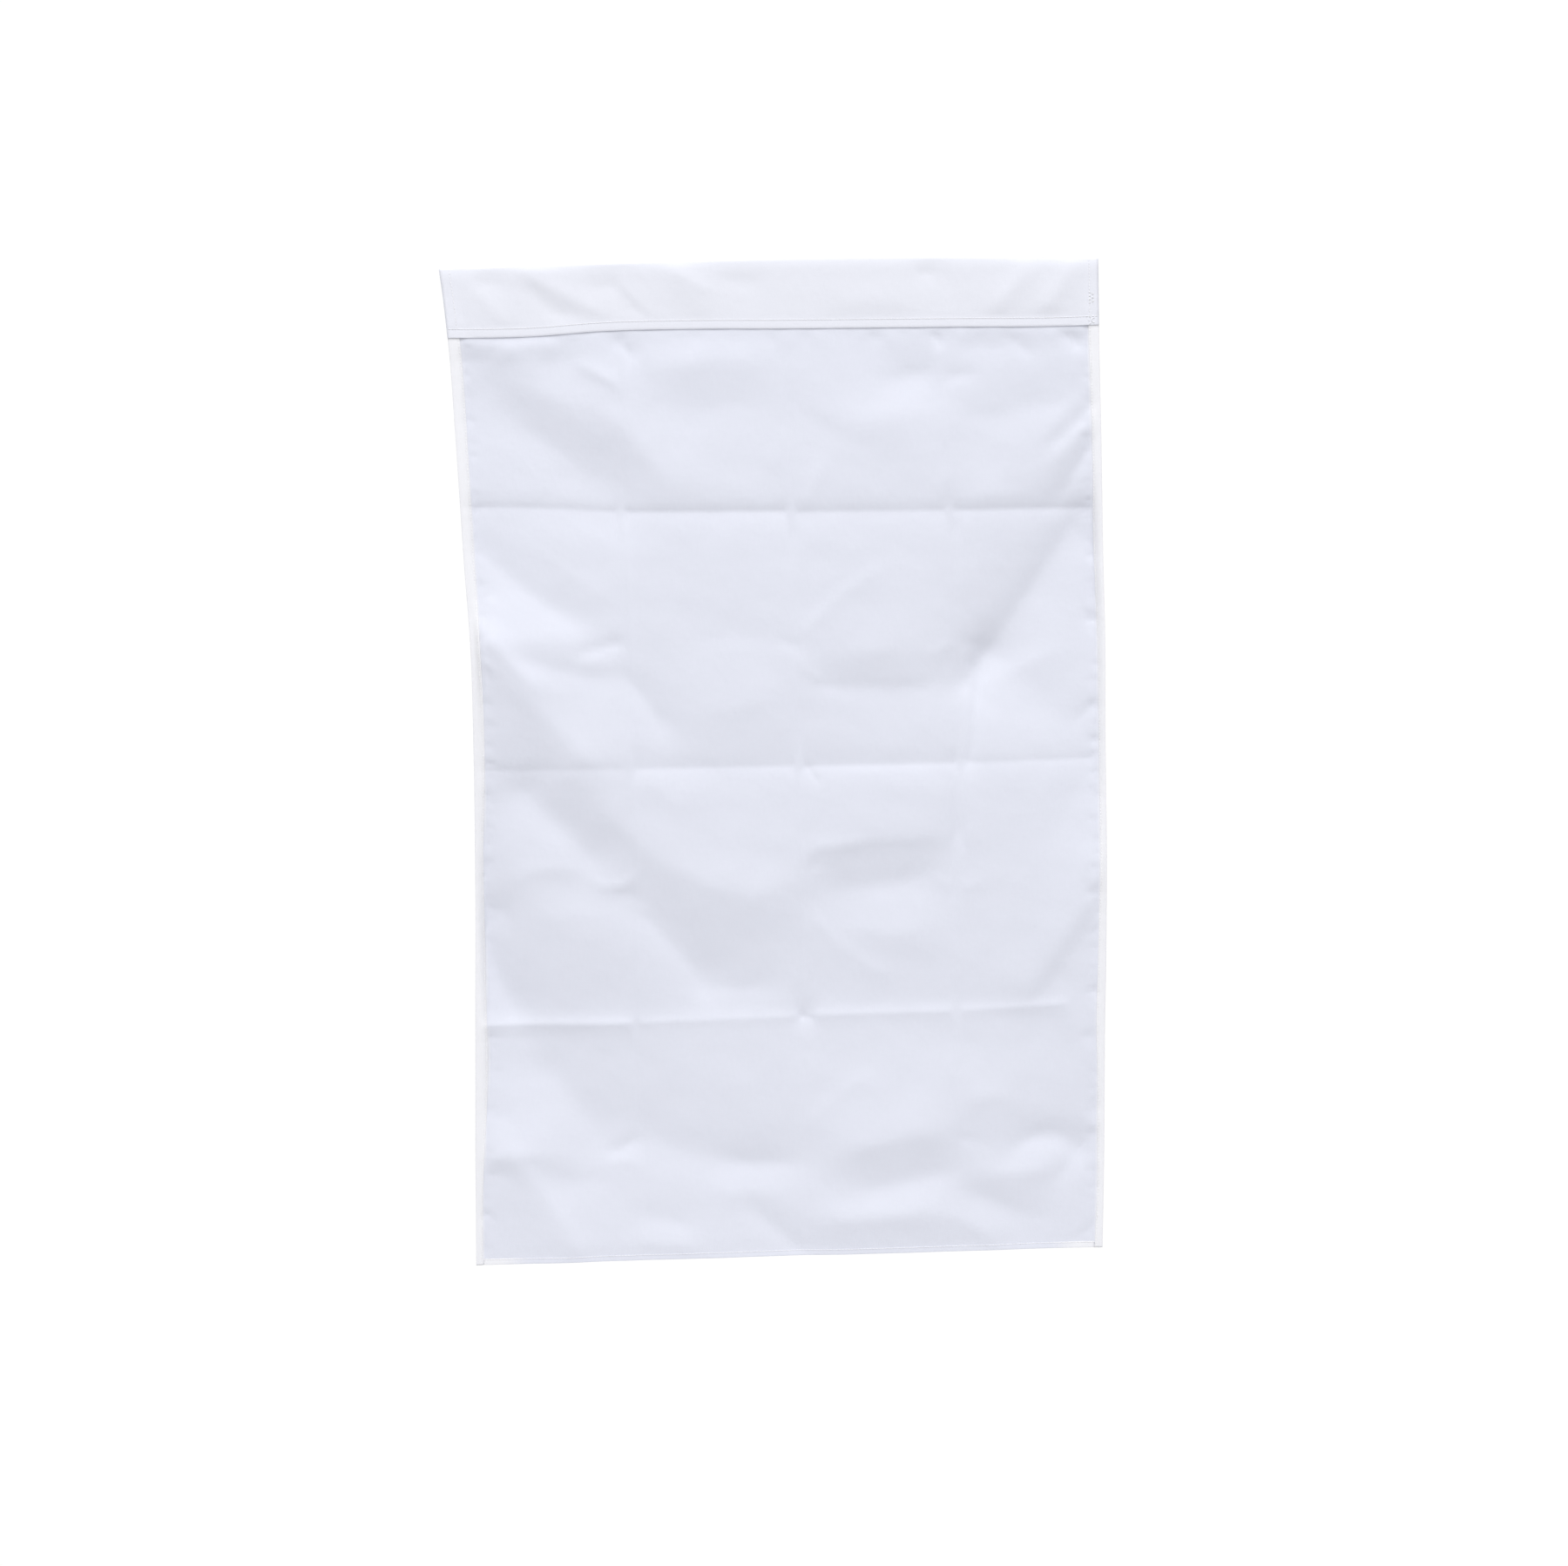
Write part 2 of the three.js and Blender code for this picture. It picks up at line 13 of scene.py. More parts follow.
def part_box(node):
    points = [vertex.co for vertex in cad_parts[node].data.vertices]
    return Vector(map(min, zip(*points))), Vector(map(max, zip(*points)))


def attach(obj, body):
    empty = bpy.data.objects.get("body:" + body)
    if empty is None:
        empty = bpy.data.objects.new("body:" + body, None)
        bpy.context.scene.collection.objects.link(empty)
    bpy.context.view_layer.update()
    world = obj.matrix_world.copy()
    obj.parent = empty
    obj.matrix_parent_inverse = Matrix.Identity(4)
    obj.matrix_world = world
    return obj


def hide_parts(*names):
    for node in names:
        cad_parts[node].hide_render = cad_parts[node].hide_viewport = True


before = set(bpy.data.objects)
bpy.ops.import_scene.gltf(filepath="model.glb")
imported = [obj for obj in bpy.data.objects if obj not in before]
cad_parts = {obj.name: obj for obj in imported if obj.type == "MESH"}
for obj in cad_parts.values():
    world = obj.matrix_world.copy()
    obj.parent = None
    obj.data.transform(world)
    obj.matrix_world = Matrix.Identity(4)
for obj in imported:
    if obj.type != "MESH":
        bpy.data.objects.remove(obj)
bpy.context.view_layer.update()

bl_info = {
    "name": "Garden Flag",
    "version": (1, 0, 0),
    "blender": (4, 5, 0),
    "location": "3D View > Sidebar > Flag",
    "description": "Builds a hemmed cloth flag with a pole sleeve, its stitches and its stage",
    "category": "Add Mesh",
}

SLEEVE_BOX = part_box("pole_sleeve")
PANEL_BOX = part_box("panel")
MM = 0.001

# Outline
TOP_CROWN = 5.5
LEFT_CORNER = -356
RIGHT_CORNER = 356
LEFT_SAG = 3
RIGHT_SAG = 7.5
BOTTOM_LEFT = -1092.5
BOTTOM_RIGHT = -1088
BOTTOM_HALF = 350

# Sleeve
SLEEVE_FRONT = 1.9
SLEEVE_LEAN = 1.12
SLEEVE_LEAN_DEPTH = 4.5
SLEEVE_DIP = 0.35
SLEEVE_DIP_FROM = 8
SLEEVE_BACK = 13
SLEEVE_CROWN = 26
TOP_FOLD = 0.8
LIP = 9.5
FRONT_SEAM = 0.76
TURNED_LAYER = 0.42
TURNED_HEIGHT = 12.5
SEAM_PINCH = 0.15
SEAM_PINCH_WIDTH = 2.2
LIP_WAVE = 0.2
LIP_WAVE_SHORT = 7
LIP_WAVE_LONG = 31
END_EASE = 8
SLEEVE_FOLD_DEPTH = 0.65
SLEEVE_LAYERS = 0.35

# Fades
LIP_CLEAR = 1
LIP_FADE = 26
FINE_FADE = 9
SLEEVE_FOLD_FADE = 6
SEAM_FOLD_FADE = 12
TIP_STRENGTH = 1.7
TIP_POWER = 1.5

# Grid
BORDER = 27
BORDER_STEP = 3.2
BODY_STEP = 5.4
CREASE_STEP = 2.6
CREASE_NEAR = 6
CREASE_SPREAD = 22
UPRIGHT_NEAR = 12
UPRIGHT_SPREAD = 26

# The panel's bands for the spacing of their rows: the length, and what is added to the distance from the end
BANDS = ((206, 0), (278, 0), (278, 0), (270, 12))
LAST_BAND = 3
LAST_BAND_HEIGHT = 272

# Hems, with places as shares of their width from the edge inwards
HEM_PLACES = np.array([0, 0.02, 0.06, 0.14, 0.3, 0.5, 0.68, 0.78, 0.84, 0.9, 0.95, 0.985, 1.0])
HEM_CLEAR = 0.04
HEM_KEEPS = 0.3
HEM_KEEPS_FROM = 0.8
HEM_EASE = 9
HEM_POWER = 6
HEM_RIM = 0.12
GROOVE_DEPTH = 0.35
GROOVE_WIDTH = 0.06
SEAM_PLACE = 0.85
BOTTOM_THIN = 0.55
BOTTOM_TAPER = 0.85
BOTTOM_RIM = 0.1
BOTTOM_STEP = 2.4
BOTTOM_GAP = 0.4
PALE_END = 25
PALE_SPREAD = 40

# Ranges that the puckers at the side hems, at the bottom hem and at the lip are drawn from
PUCKER_START = (8, 14)
PUCKER_END = 10
PUCKER_OVERLAP = 1
PUCKER_REACH = (5, 17)
PUCKER_DROP = (-0.2, 1.2)
PUCKER_DEPTH = (0.25, 0.95)
PUCKER_WIDTH = (2.0, 3.6)
PUCKER_STEP = (5, 18)
PUCKER_TAIL = 3.2
PUCKER_SOFT = 0.8
PUCKER_FADE = 0.5
FOOT_PLACES = (-330, 335, 9.0)
FOOT_SHIFT = (-3, 3)
FOOT_REACH = (3, 9)
FOOT_LEAN = (-4, 4)
FOOT_DEPTH = (0.1, 0.35)
FOOT_WIDTHS = (2, 2.4)
LIP_PUCKER_INSET = 24
LIP_PUCKER_ABOVE = 6
LIP_PUCKER_REACH = (14, 40)
LIP_PUCKER_LEAN = (-0.9, 0.9)
LIP_PUCKER_WIDTH = (3.5, 7)
LIP_PUCKER_DEPTH = (-0.9, 0.9)
LIP_PUCKER_STEP = (8, 20)
LIP_PUCKER_TAIL = 1.2
LIP_PUCKER_SOFT = 1.2

# Stitches. A tack is a zigzag between a high and a low place. Normals are taken from rows near a seam.
STITCH_FILL = 0.8
STITCH_SIDES = 6
STITCH_SHARES = np.array([0, 0.15, 0.5, 0.85, 1.0])
STITCH_DIP = 1.4
STITCH_THIN = 0.35
STITCH_SINK = 0.72
SEAM_SAMPLES = 500
SEAM_INSET = 0.002
SEAM_FRONT_SHARE = 0.985
SEAM_BACK_SHARE = 0.004
NEAR_SHARE = 0.01
NEAR_PLACE = 0.1
TACK_LEFT = 344.5
TACK_RIGHT = 351
TACK_STEP = 2
TACKS = ((-37.5, -51), (-63.8, -72))

# Surfaces, with lengths in metres
WEAVE_PITCH = 0.00045
WEAVE_DEPTH = 0.00003
CRUMPLE_DEPTH = 0.00025
CRUMPLE_SCALES = (120, 90)
SLUB_TONE = 0.03
SLUB_SCALES = (90, 1600)
CLOUD_TONE = 0.02
CLOUD_SCALES = (11, 9)
TWIST_SCALE = 900
TWIST_DEPTH = 0.00004
SENSOR_WIDTH = 36
ROOM_LOW = 0.46
ROOM_HIGH = 0.62
FLOOR_SIDES = 96
FLOOR_TONE = 0.85

# The side edges of the whole flag, and how wide their hems show, at each height.
# Columns: height, left, right, left hem, right hem.
SIDES = np.array([
    (6, -356, 356, 13, 12),
    (-30, -352, 356, 13, 12),
    (-73, -348.5, 356, 13, 11.5),
    (-175, -344, 357, 12.5, 10),
    (-317, -339, 358, 11.5, 9),
    (-412, -334.5, 359, 11.5, 7.5),
    (-510, -335, 358, 12.5, 6.5),
    (-650, -338, 357.5, 8.5, 7.5),
    (-780, -342, 355, 11, 9),
    (-845, -344, 353, 13.5, 9.5),
    (-900, -345.7, 352, 13, 8),
    (-960, -347.5, 351, 10.5, 7.5),
    (-1020, -349, 349.5, 8, 7),
    (-1095, -351, 347, 8, 9),
], float)

# The sleeve's lower edge and the three level package creases, as x and height.
LIP_MIDDLE = 4
LIP_LINE = np.array([
    (-360, -71), (-260, -71.5), (-180, -67.5), (-80, -67.3), (10, -69),
    (110, -70.3), (205, -71.5), (300, -73), (360, -72.5),
], float)
CREASE_LINES = [
    np.array([(-350, -252), (-170, -261), (20, -265), (190, -268), (360, -268)], float),
    np.array([(-350, -541), (-165, -542.5), (20, -543.5), (200, -544), (360, -542)], float),
    np.array([(-350, -824), (-165, -825), (20, -820.5), (190, -818.5), (360, -806)], float),
]
UPRIGHT_SHARES = (0.255, 0.516, 0.765)

# A fold runs from (x1, z1) to (x2, z2), bowed by bow to its upper side. Its crest stands out by out, or back
# where out is negative, dies away over the widths over and under, is rounded by soft, and ends over the part
# fade of its length.
# Columns: x1, z1, x2, z2, bow, out, over, under, soft, fade.
LEVEL_CREASES = (
    (-345, -253, -166, -262, 2, -2.4, 9, 30, 1.2, 0.05),
    (-168, -262, 20, -265, 0, -2.7, 9, 18, 1.2, 0.05),
    (18, -266, 192, -268, 0, -2.3, 10, 20, 1.2, 0.05),
    (190, -268, 352, -268, 0, -2.2, 8, 16, 1.2, 0.05),
    (-338, -541, -163, -542, 0, -0.9, 7, 9, 1.2, 0.05),
    (-165, -542.5, 22, -543.5, 0, -2.8, 24, 16, 1.2, 0.05),
    (20, -544, 201, -544, 0, -3.0, 26, 12, 1.2, 0.05),
    (199, -544, 350, -542, 0, -1.3, 7, 12, 1.2, 0.05),
    (-342, -824, -165, -825, 0, 3.2, 10, 14, 1.2, 0.05),
    (-167, -825, 20, -821, 0, 1.9, 12, 12, 1.2, 0.05),
    (18, -820, 190, -819, 0, 2.0, 9, 12, 1.2, 0.05),
    (188, -819, 318, -813, 0, 2.1, 9, 14, 1.2, 0.1),
)
UPRIGHT_CREASES = (
    (-166, -75, -164, -262, 0, -0.5, 5, 5, 1.5, 0.2),
    (-163, -265, -160, -540, 2, 0.5, 6, 6, 1.5, 0.2),
    (-160, -545, -166, -822, -2, 0.7, 6, 7, 1.5, 0.2),
    (-167, -826, -158, -1085, 0, -0.6, 5, 6, 1.5, 0.2),
    (14, -75, 20, -264, 0, -0.6, 6, 6, 1.5, 0.2),
    (20, -266, 22, -543, 0, -0.5, 6, 6, 1.5, 0.2),
    (22, -545, 20, -820, 0, 0.5, 6, 6, 1.5, 0.2),
    (20, -822, 18, -1085, 0, -0.5, 6, 6, 1.5, 0.2),
    (182, -75, 192, -266, 0, 0.6, 6, 6, 1.5, 0.2),
    (194, -268, 202, -543, 0, -0.7, 7, 6, 1.5, 0.2),
    (200, -545, 188, -818, 0, 0.8, 6, 9, 1.5, 0.2),
    (187, -820, 188, -1000, 0, 0.7, 7, 7, 1.5, 0.2),
)
FIRST_ROW_FOLDS = (
    (-365, -86, -118, -278, -8, -7.5, 46, 60, 14, 0.35),
    (-295, -118, -180, -168, 4, 2.6, 22, 24, 8, 0.45),
    (-205, -125, -88, -272, 6, 5.0, 30, 30, 10, 0.4),
    (-160, -112, 10, -104, 5, 2.4, 18, 22, 7, 0.45),
    (-150, -146, 10, -150, -6, -2.0, 24, 26, 8, 0.45),
    (0, -138, 135, -214, -5, -1.4, 18, 20, 6, 0.45),
    (40, -184, 205, -176, 10, 4.0, 30, 50, 12, 0.45),
    (90, -122, 200, -124, -3, -2.4, 20, 24, 6, 0.45),
    (250, -158, 345, -150, -2, -3.0, 24, 20, 7, 0.4),
    (190, -164, 275, -166, -4, -2.0, 20, 50, 8, 0.45),
    (190, -257, 310, -252, 3, 1.2, 46, 14, 4, 0.4),
    (285, -205, 340, -140, 0, 1.5, 9, 8, 3, 0.4),
    (291, -213, 364, -143, 0, -2.2, 9, 9, 3, 0.35),
    (292, -232, 360, -160, 0, 2.2, 10, 12, 3, 0.35),
    (300, -274, 360, -174, -2, -3.0, 12, 9, 3, 0.35),
)
SECOND_ROW_FOLDS = (
    (-348, -262, -168, -404, -18, -5.4, 34, 22, 8, 0.3),
    (-360, -404, -172, -400, 3, 3.2, 34, 40, 6, 0.35),
    (-305, -412, -165, -446, -4, -2.2, 10, 26, 4, 0.4),
    (-335, -372, -250, -470, 0, 6.0, 18, 15, 5, 0.35),
    (-190, -410, -108, -528, 3, -4.2, 22, 18, 5, 0.4),
    (-125, -484, 38, -458, -4, 2.4, 40, 30, 8, 0.45),
    (-130, -402, 26, -404, 0, -1.2, 30, 12, 4, 0.4),
    (20, -428, 205, -420, 6, 2.2, 34, 18, 6, 0.45),
    (30, -452, 215, -459, -5, -3.6, 18, 60, 6, 0.4),
    (362, -238, 196, -478, 0, -13, 38, 160, 9, 0.25),
    (240, -398, 194, -480, 0, -4.5, 15, 34, 5, 0.35),
    (224, -425, 206, -560, 0, -3.2, 8, 9, 3, 0.2),
    (222, -466, 325, -416, 3, 2.6, 14, 24, 4, 0.45),
)
LONG_RIDGE_FOLDS = (
    (-365, -385, -180, -570, 6, 7.5, 32, 80, 12, 0.25),
    (-225, -525, 50, -688, -58, 7.5, 56, 70, 10, 0.25),
    (-315, -535, -180, -675, 4, -9.2, 44, 36, 10, 0.3),
    (-200, -655, -65, -815, 6, -7.5, 56, 20, 10, 0.3),
    (-350, -818, 350, -812, 0, -6, 150, 150, 10, 0.1),
)
THIRD_ROW_FOLDS = (
    (-315, -664, -200, -652, 6, 2.4, 26, 12, 5, 0.4),
    (-372, -605, -280, -862, -4, -10.5, 34, 30, 8, 0.3),
    (-300, -712, -180, -706, 4, 2.4, 30, 50, 7, 0.45),
    (-112, -787, 12, -789, 0, -2.4, 20, 16, 4, 0.35),
    (22, -635, 208, -625, 4, 2.8, 80, 16, 5, 0.35),
    (15, -686, 205, -663, -2, -4.6, 28, 36, 6, 0.35),
    (40, -726, 205, -722, -6, 2.6, 26, 30, 7, 0.45),
    (369, -626, 242, -828, -9, 6.0, 44, 30, 8, 0.25),
    (374, -670, 262, -832, -3, -2.0, 18, 26, 5, 0.25),
    (285, -665, 352, -530, 0, -2.8, 28, 28, 8, 0.45),
)
FOURTH_ROW_FOLDS = (
    (-305, -835, -180, -995, 6, -8.3, 48, 48, 12, 0.35),
    (-350, -838, -262, -842, 0, -1.4, 10, 70, 4, 0.35),
    (-365, -974, -235, -972, 4, 4.2, 34, 16, 5, 0.4),
    (-330, -945, -226, -1110, 10, 4.6, 16, 40, 8, 0.25),
    (-285, -992, -190, -1004, -2, -2.0, 12, 24, 5, 0.4),
    (-190, -1034, -85, -1056, -2, -2.8, 18, 18, 5, 0.4),
    (-215, -925, 50, -990, -22, -6.6, 50, 50, 8, 0.35),
    (-90, -984, 34, -985, -2, -2.4, 14, 14, 4, 0.35),
    (-115, -1016, 30, -1016, -3, 3.0, 24, 36, 7, 0.4),
    (-195, -1070, -75, -1086, 4, 2.6, 18, 12, 5, 0.45),
    (-66, -1010, 36, -1102, -4, -3.6, 18, 16, 6, 0.35),
    (12, -976, 212, -935, -6, 7.0, 50, 32, 8, 0.4),
    (45, -1026, 215, -986, -4, -4.4, 24, 20, 8, 0.35),
    (5, -1050, 185, -1040, -3, 5.8, 26, 24, 6, 0.35),
    (175, -924, 275, -914, 4, 2.8, 36, 20, 6, 0.45),
    (232, -984, 336, -987, 20, -4.2, 20, 14, 4, 0.35),
    (178, -1000, 335, -992, -6, 3.4, 18, 18, 5, 0.4),
    (170, -1008, 305, -1066, -4, -3.8, 18, 30, 6, 0.4),
    (146, -1036, 250, -1090, 5, 3.2, 24, 14, 6, 0.4),
    (288, -1024, 338, -950, -3, -4.2, 16, 13, 4, 0.4),
)
# Small dents, beaks and thin lines, most of them where a level fold of the package crossed an upright one.
SMALL_FOLDS = (
    (-214, -99, -158, -131, 0, 1.8, 11, 4.5, 1.2, 0.3),
    (-265, -104, -200, -98, 2, -1.4, 14, 30, 4, 0.4),
    (-328, -95, -222, -92, 0, 2.2, 16, 30, 4, 0.4),
    (-302, -102, -274, -80, 0, 1.2, 8, 6, 2, 0.35),
    (-172, -74, -146, -96, 0, -1.6, 6, 6, 1.5, 0.35),
    (104, -76, 122, -84, 0, -1.2, 6, 6, 1.5, 0.35),
    (176, -75, 186, -92, 0, -1.6, 6, 6, 1.5, 0.35),
    (314, -77, 338, -100, 0, -1.6, 6, 6, 1.5, 0.35),
    (-160, -93, -136, -89, 0, -1.3, 10, 20, 2, 0.35),
    (132, -120, 184, -117, 0, -1.6, 14, 40, 2, 0.35),
    (183, -127, 226, -120, 0, -1.3, 7, 6, 1.2, 0.35),
    (255, -80, 288, -108, 0, -1.7, 8, 6, 2, 0.35),
    (195, -96, 262, -98, 4, -1.0, 12, 12, 3, 0.35),
    (318, -78, 336, -92, 0, -1.2, 6, 6, 1.5, 0.35),
    (-182, -262, -150, -262, 0, -1.4, 26, 20, 4, 0.4),
    (34, -264, 60, -210, 0, 0.9, 7, 5, 1.5, 0.3),
    (8, -290, 32, -290, 0, -1.0, 16, 40, 3, 0.4),
    (-178, -292, -148, -292, 0, -1.0, 16, 40, 3, 0.4),
    (188, -286, 208, -286, 0, -0.8, 14, 40, 3, 0.4),
    (-338, -356, -296, -346, 0, -1.4, 16, 10, 2, 0.35),
    (-278, -290, -166, -370, 1, 0.35, 4, 5, 1.5, 0.25),
    (-222, -420, -162, -404, 3, -2.3, 7, 5, 1.0, 0.3),
    (-220, -430, -160, -439, 7, 0.5, 8, 8, 1.5, 0.35),
    (22, -404, 122, -323, 6, 1.0, 4, 14, 1.0, 0.2),
    (0, -405, 28, -416, 0, -1.1, 6, 4, 1, 0.35),
    (22, -434, 52, -454, 0, 0.8, 5, 4, 1.2, 0.35),
    (34, -454, 84, -462, 0, -1.0, 6, 5, 1.5, 0.35),
    (165, -427, 194, -409, 0, 0.9, 4, 12, 1.2, 0.35),
    (198, -413, 226, -420, 2, -0.8, 5, 5, 1, 0.35),
    (322, -505, 352, -478, 0, -1.4, 6, 6, 2, 0.3),
    (335, -394, 356, -386, 0, -1.4, 10, 6, 2, 0.35),
    (-334, -700, -296, -696, 0, -2.4, 24, 22, 3, 0.35),
    (-214, -664, -158, -660, -10, 1.6, 5, 6, 1, 0.25),
    (-178, -686, -148, -702, 0, 1.2, 4, 6, 1, 0.3),
    (-152, -550, -92, -600, 0, 1.0, 12, 10, 3, 0.35),
    (184, -622, 206, -622, 0, -3.0, 80, 24, 3, 0.4),
    (28, -542, 44, -564, 0, -1.0, 4, 4, 1, 0.25),
    (28, -702, 118, -780, -6, 1.0, 4, 14, 1.0, 0.2),
    (28, -640, 46, -630, 0, 0.7, 3, 3, 1, 0.35),
    (26, -658, 46, -648, 0, -0.7, 3, 3, 1, 0.35),
    (34, -631, 92, -629, -2, 1.5, 8, 8, 2, 0.35),
    (164, -667, 190, -681, 0, 0.9, 4, 12, 1.2, 0.3),
    (192, -680, 228, -670, -3, 0.9, 4, 12, 1, 0.35),
    (328, -694, 356, -690, 0, -1.6, 14, 6, 2, 0.4),
    (8, -822, 36, -822, 0, -3.6, 14, 8, 3, 0.4),
    (-335, -928, -304, -926, 0, -1.2, 12, 9, 3, 0.35),
    (-205, -975, -162, -954, 0, -2.2, 7, 6, 1, 0.3),
    (-208, -982, -160, -984, 3, 1.2, 6, 10, 1, 0.3),
    (-340, -992, -306, -990, 0, -1.2, 14, 10, 3, 0.35),
    (24, -945, 100, -885, 8, 1.0, 4, 14, 1.5, 0.3),
    (184, -962, 232, -974, 3, -1.0, 6, 6, 1, 0.3),
    (318, -1080, 344, -1058, 0, -0.9, 4, 4, 1.2, 0.3),
    (258, -969, 320, -970, 12, -1.3, 10, 5, 2, 0.3),
    (330, -934, 354, -930, 0, -1.4, 12, 8, 2, 0.35),
)
# The folds of the sleeve's front, and then its small dents.
SLEEVE_FOLDS = (
    (-330, -5, -278, -66, 0, 1.4, 9, 9, 3, 0.3),
    (-275, 4, -165, -56, -3, 2.4, 14, 7, 3, 0.3),
    (-270, -12, -200, -66, -3, -2, 8, 9, 3, 0.3),
    (-178, 2, -118, -66, -3, -2.2, 12, 10, 3, 0.3),
    (-110, -4, -62, -60, 0, 1.2, 10, 10, 4, 0.4),
    (-60, -14, 0, -22, 0, -1.4, 8, 12, 4, 0.4),
    (55, -46, 165, -46, 5, 1.5, 16, 12, 4, 0.4),
    (185, 0, 196, -40, 0, -1, 7, 7, 3, 0.4),
    (282, -2, 240, -62, 0, 1.5, 9, 12, 4, 0.35),
    (332, 2, 290, -64, 0, 1.8, 9, 12, 4, 0.35),
)
SMALL_SLEEVE_FOLDS = (
    (-325, -14, -282, -12, 0, -1.2, 9, 10, 3, 0.4),
    (-208, -22, -150, -18, 0, -1.2, 12, 20, 3, 0.4),
    (-172, -4, -116, -62, -2, 1.5, 8, 6, 2, 0.3),
    (-112, 0, -58, -32, 0, 1.5, 8, 8, 3, 0.35),
    (155, -14, 184, -12, 0, -1.4, 8, 12, 2, 0.4),
    (292, -4, 234, -60, 0, 1.1, 10, 10, 3, 0.35),
    (332, -6, 292, -66, 0, 1.0, 9, 9, 3, 0.35),
)

# The cloth's path from the turned-in edge behind the lip, over the top fold and down to the bottom, as segments.
TURNED, FOLDED, LIP_FRONT, FRONT, TOP, BACK, BAND = range(7)
SEGMENT_ROWS = ((TURNED, 4), (FOLDED, 4), (LIP_FRONT, 5), (FRONT, 9), (TOP, 19), (BACK, 8))


def ease(share):
    """3s^2 - 2s^3, with s held between 0 and 1."""
    s = np.clip(share, 0, 1)
    return s * s * (3 - 2 * s)


def smooth_line(points, at):
    """A cubic through the points, with the slopes of their neighbours, read at the places at."""
    keys, values = points[:, 0], points[:, 1]
    if keys[0] > keys[-1]:
        keys, values = keys[::-1], values[::-1]
    slopes = np.gradient(values, keys)
    i = np.clip(np.searchsorted(keys, at) - 1, 0, len(keys) - 2)
    span = keys[i + 1] - keys[i]
    s = np.clip((at - keys[i]) / span, 0, 1)
    chord = values[i + 1] - values[i]
    bend = s * (1 - s) * ((1 - s) * (slopes[i] * span - chord) - s * (slopes[i + 1] * span - chord))
    return values[i] + s * chord + bend


def top_edge(x):
    """TOP_CROWN less the corner's sag times (x / corner)^2."""
    left = LEFT_SAG * (x / LEFT_CORNER) ** 2
    right = RIGHT_SAG * (x / RIGHT_CORNER) ** 2
    return TOP_CROWN - np.where(x < 0, left, right)


def lip_edge(x):
    """The height of the sleeve's lower edge."""
    return smooth_line(LIP_LINE, x)


def lip_wave(x):
    """How unevenly the lip stands off along the sleeve: (1 + sin(x / short + 2 sin(x / long))) / 2."""
    return (1 + np.sin(x / LIP_WAVE_SHORT + 2 * np.sin(x / LIP_WAVE_LONG))) / 2


def bottom_edge(x):
    """A straight line between the two bottom corners."""
    return BOTTOM_LEFT + (BOTTOM_RIGHT - BOTTOM_LEFT) * (x + BOTTOM_HALF) / (2 * BOTTOM_HALF)


def side_edge(height, side):
    """x of the left edge (side 0) or the right edge (side 1)."""
    return smooth_line(SIDES[:, (0, 1 + side)], height)


def hem_width(height, side):
    """The width of the left or right hem."""
    return smooth_line(SIDES[:, (0, 3 + side)], height)


def x_at(share, height):
    """x at a share of the width."""
    left = side_edge(height, 0)
    return left + (side_edge(height, 1) - left) * share


def past_hem(share, height):
    """How far a place lies inwards of the nearer hem's inner edge."""
    x = x_at(share, height)
    from_left = x - side_edge(height, 0) - hem_width(height, 0)
    from_right = side_edge(height, 1) - x - hem_width(height, 1)
    return np.minimum(from_left, from_right)


def folds_out(rows, x, z):
    """The sum over the folds of out * exp(-(|(t / w, tip, k)| - k)).

    t is the distance from the fold's bowed line, w its width on that side, tip grows past the unfaded part of
    its length, and k rounds the crest.
    """
    total = np.zeros(np.broadcast(x, z).shape)
    for x1, z1, x2, z2, bow, out, over, under, soft, fade in rows:
        length = np.hypot(x2 - x1, z2 - z1)
        ax, az = (x2 - x1) / length, (z2 - z1) / length
        ux, uz = (-az, ax) if ax >= 0 else (az, -ax)
        share = ((x - x1) * ax + (z - z1) * az) / length
        off = (x - x1) * ux + (z - z1) * uz - bow * np.maximum(-1, 4 * share * (1 - share))
        width = np.where(off > 0, over, under)
        past = np.maximum(0, np.abs(share - 0.5) - (0.5 - fade)) / fade
        tip = TIP_STRENGTH * past ** TIP_POWER
        rounding = 2 * soft / (over + under)
        total += out * np.exp(rounding - np.sqrt((off / width) ** 2 + tip ** 2 + rounding ** 2))
    return total


def crumple(x, z, settings):
    """A sum of level waves, sin(k . p + phase), in seeded directions and lengths, each as high as it is long."""
    draw = np.random.default_rng(settings.crumple_seed)
    lengths = draw.uniform(settings.crumple_short / MM, settings.crumple_long / MM, settings.crumple_waves)
    angles = draw.uniform(0, np.pi, settings.crumple_waves)
    phases = draw.uniform(0, 2 * np.pi, settings.crumple_waves)
    total = np.zeros(np.broadcast(x, z).shape)
    for length, angle, phase in zip(lengths, angles, phases):
        wave = 2 * np.pi / length
        total += length * np.sin(wave * (x * np.cos(angle) + z * np.sin(angle)) + phase)
    return total * settings.crumple_slope / (2 * np.pi) * np.sqrt(2 / settings.crumple_waves)


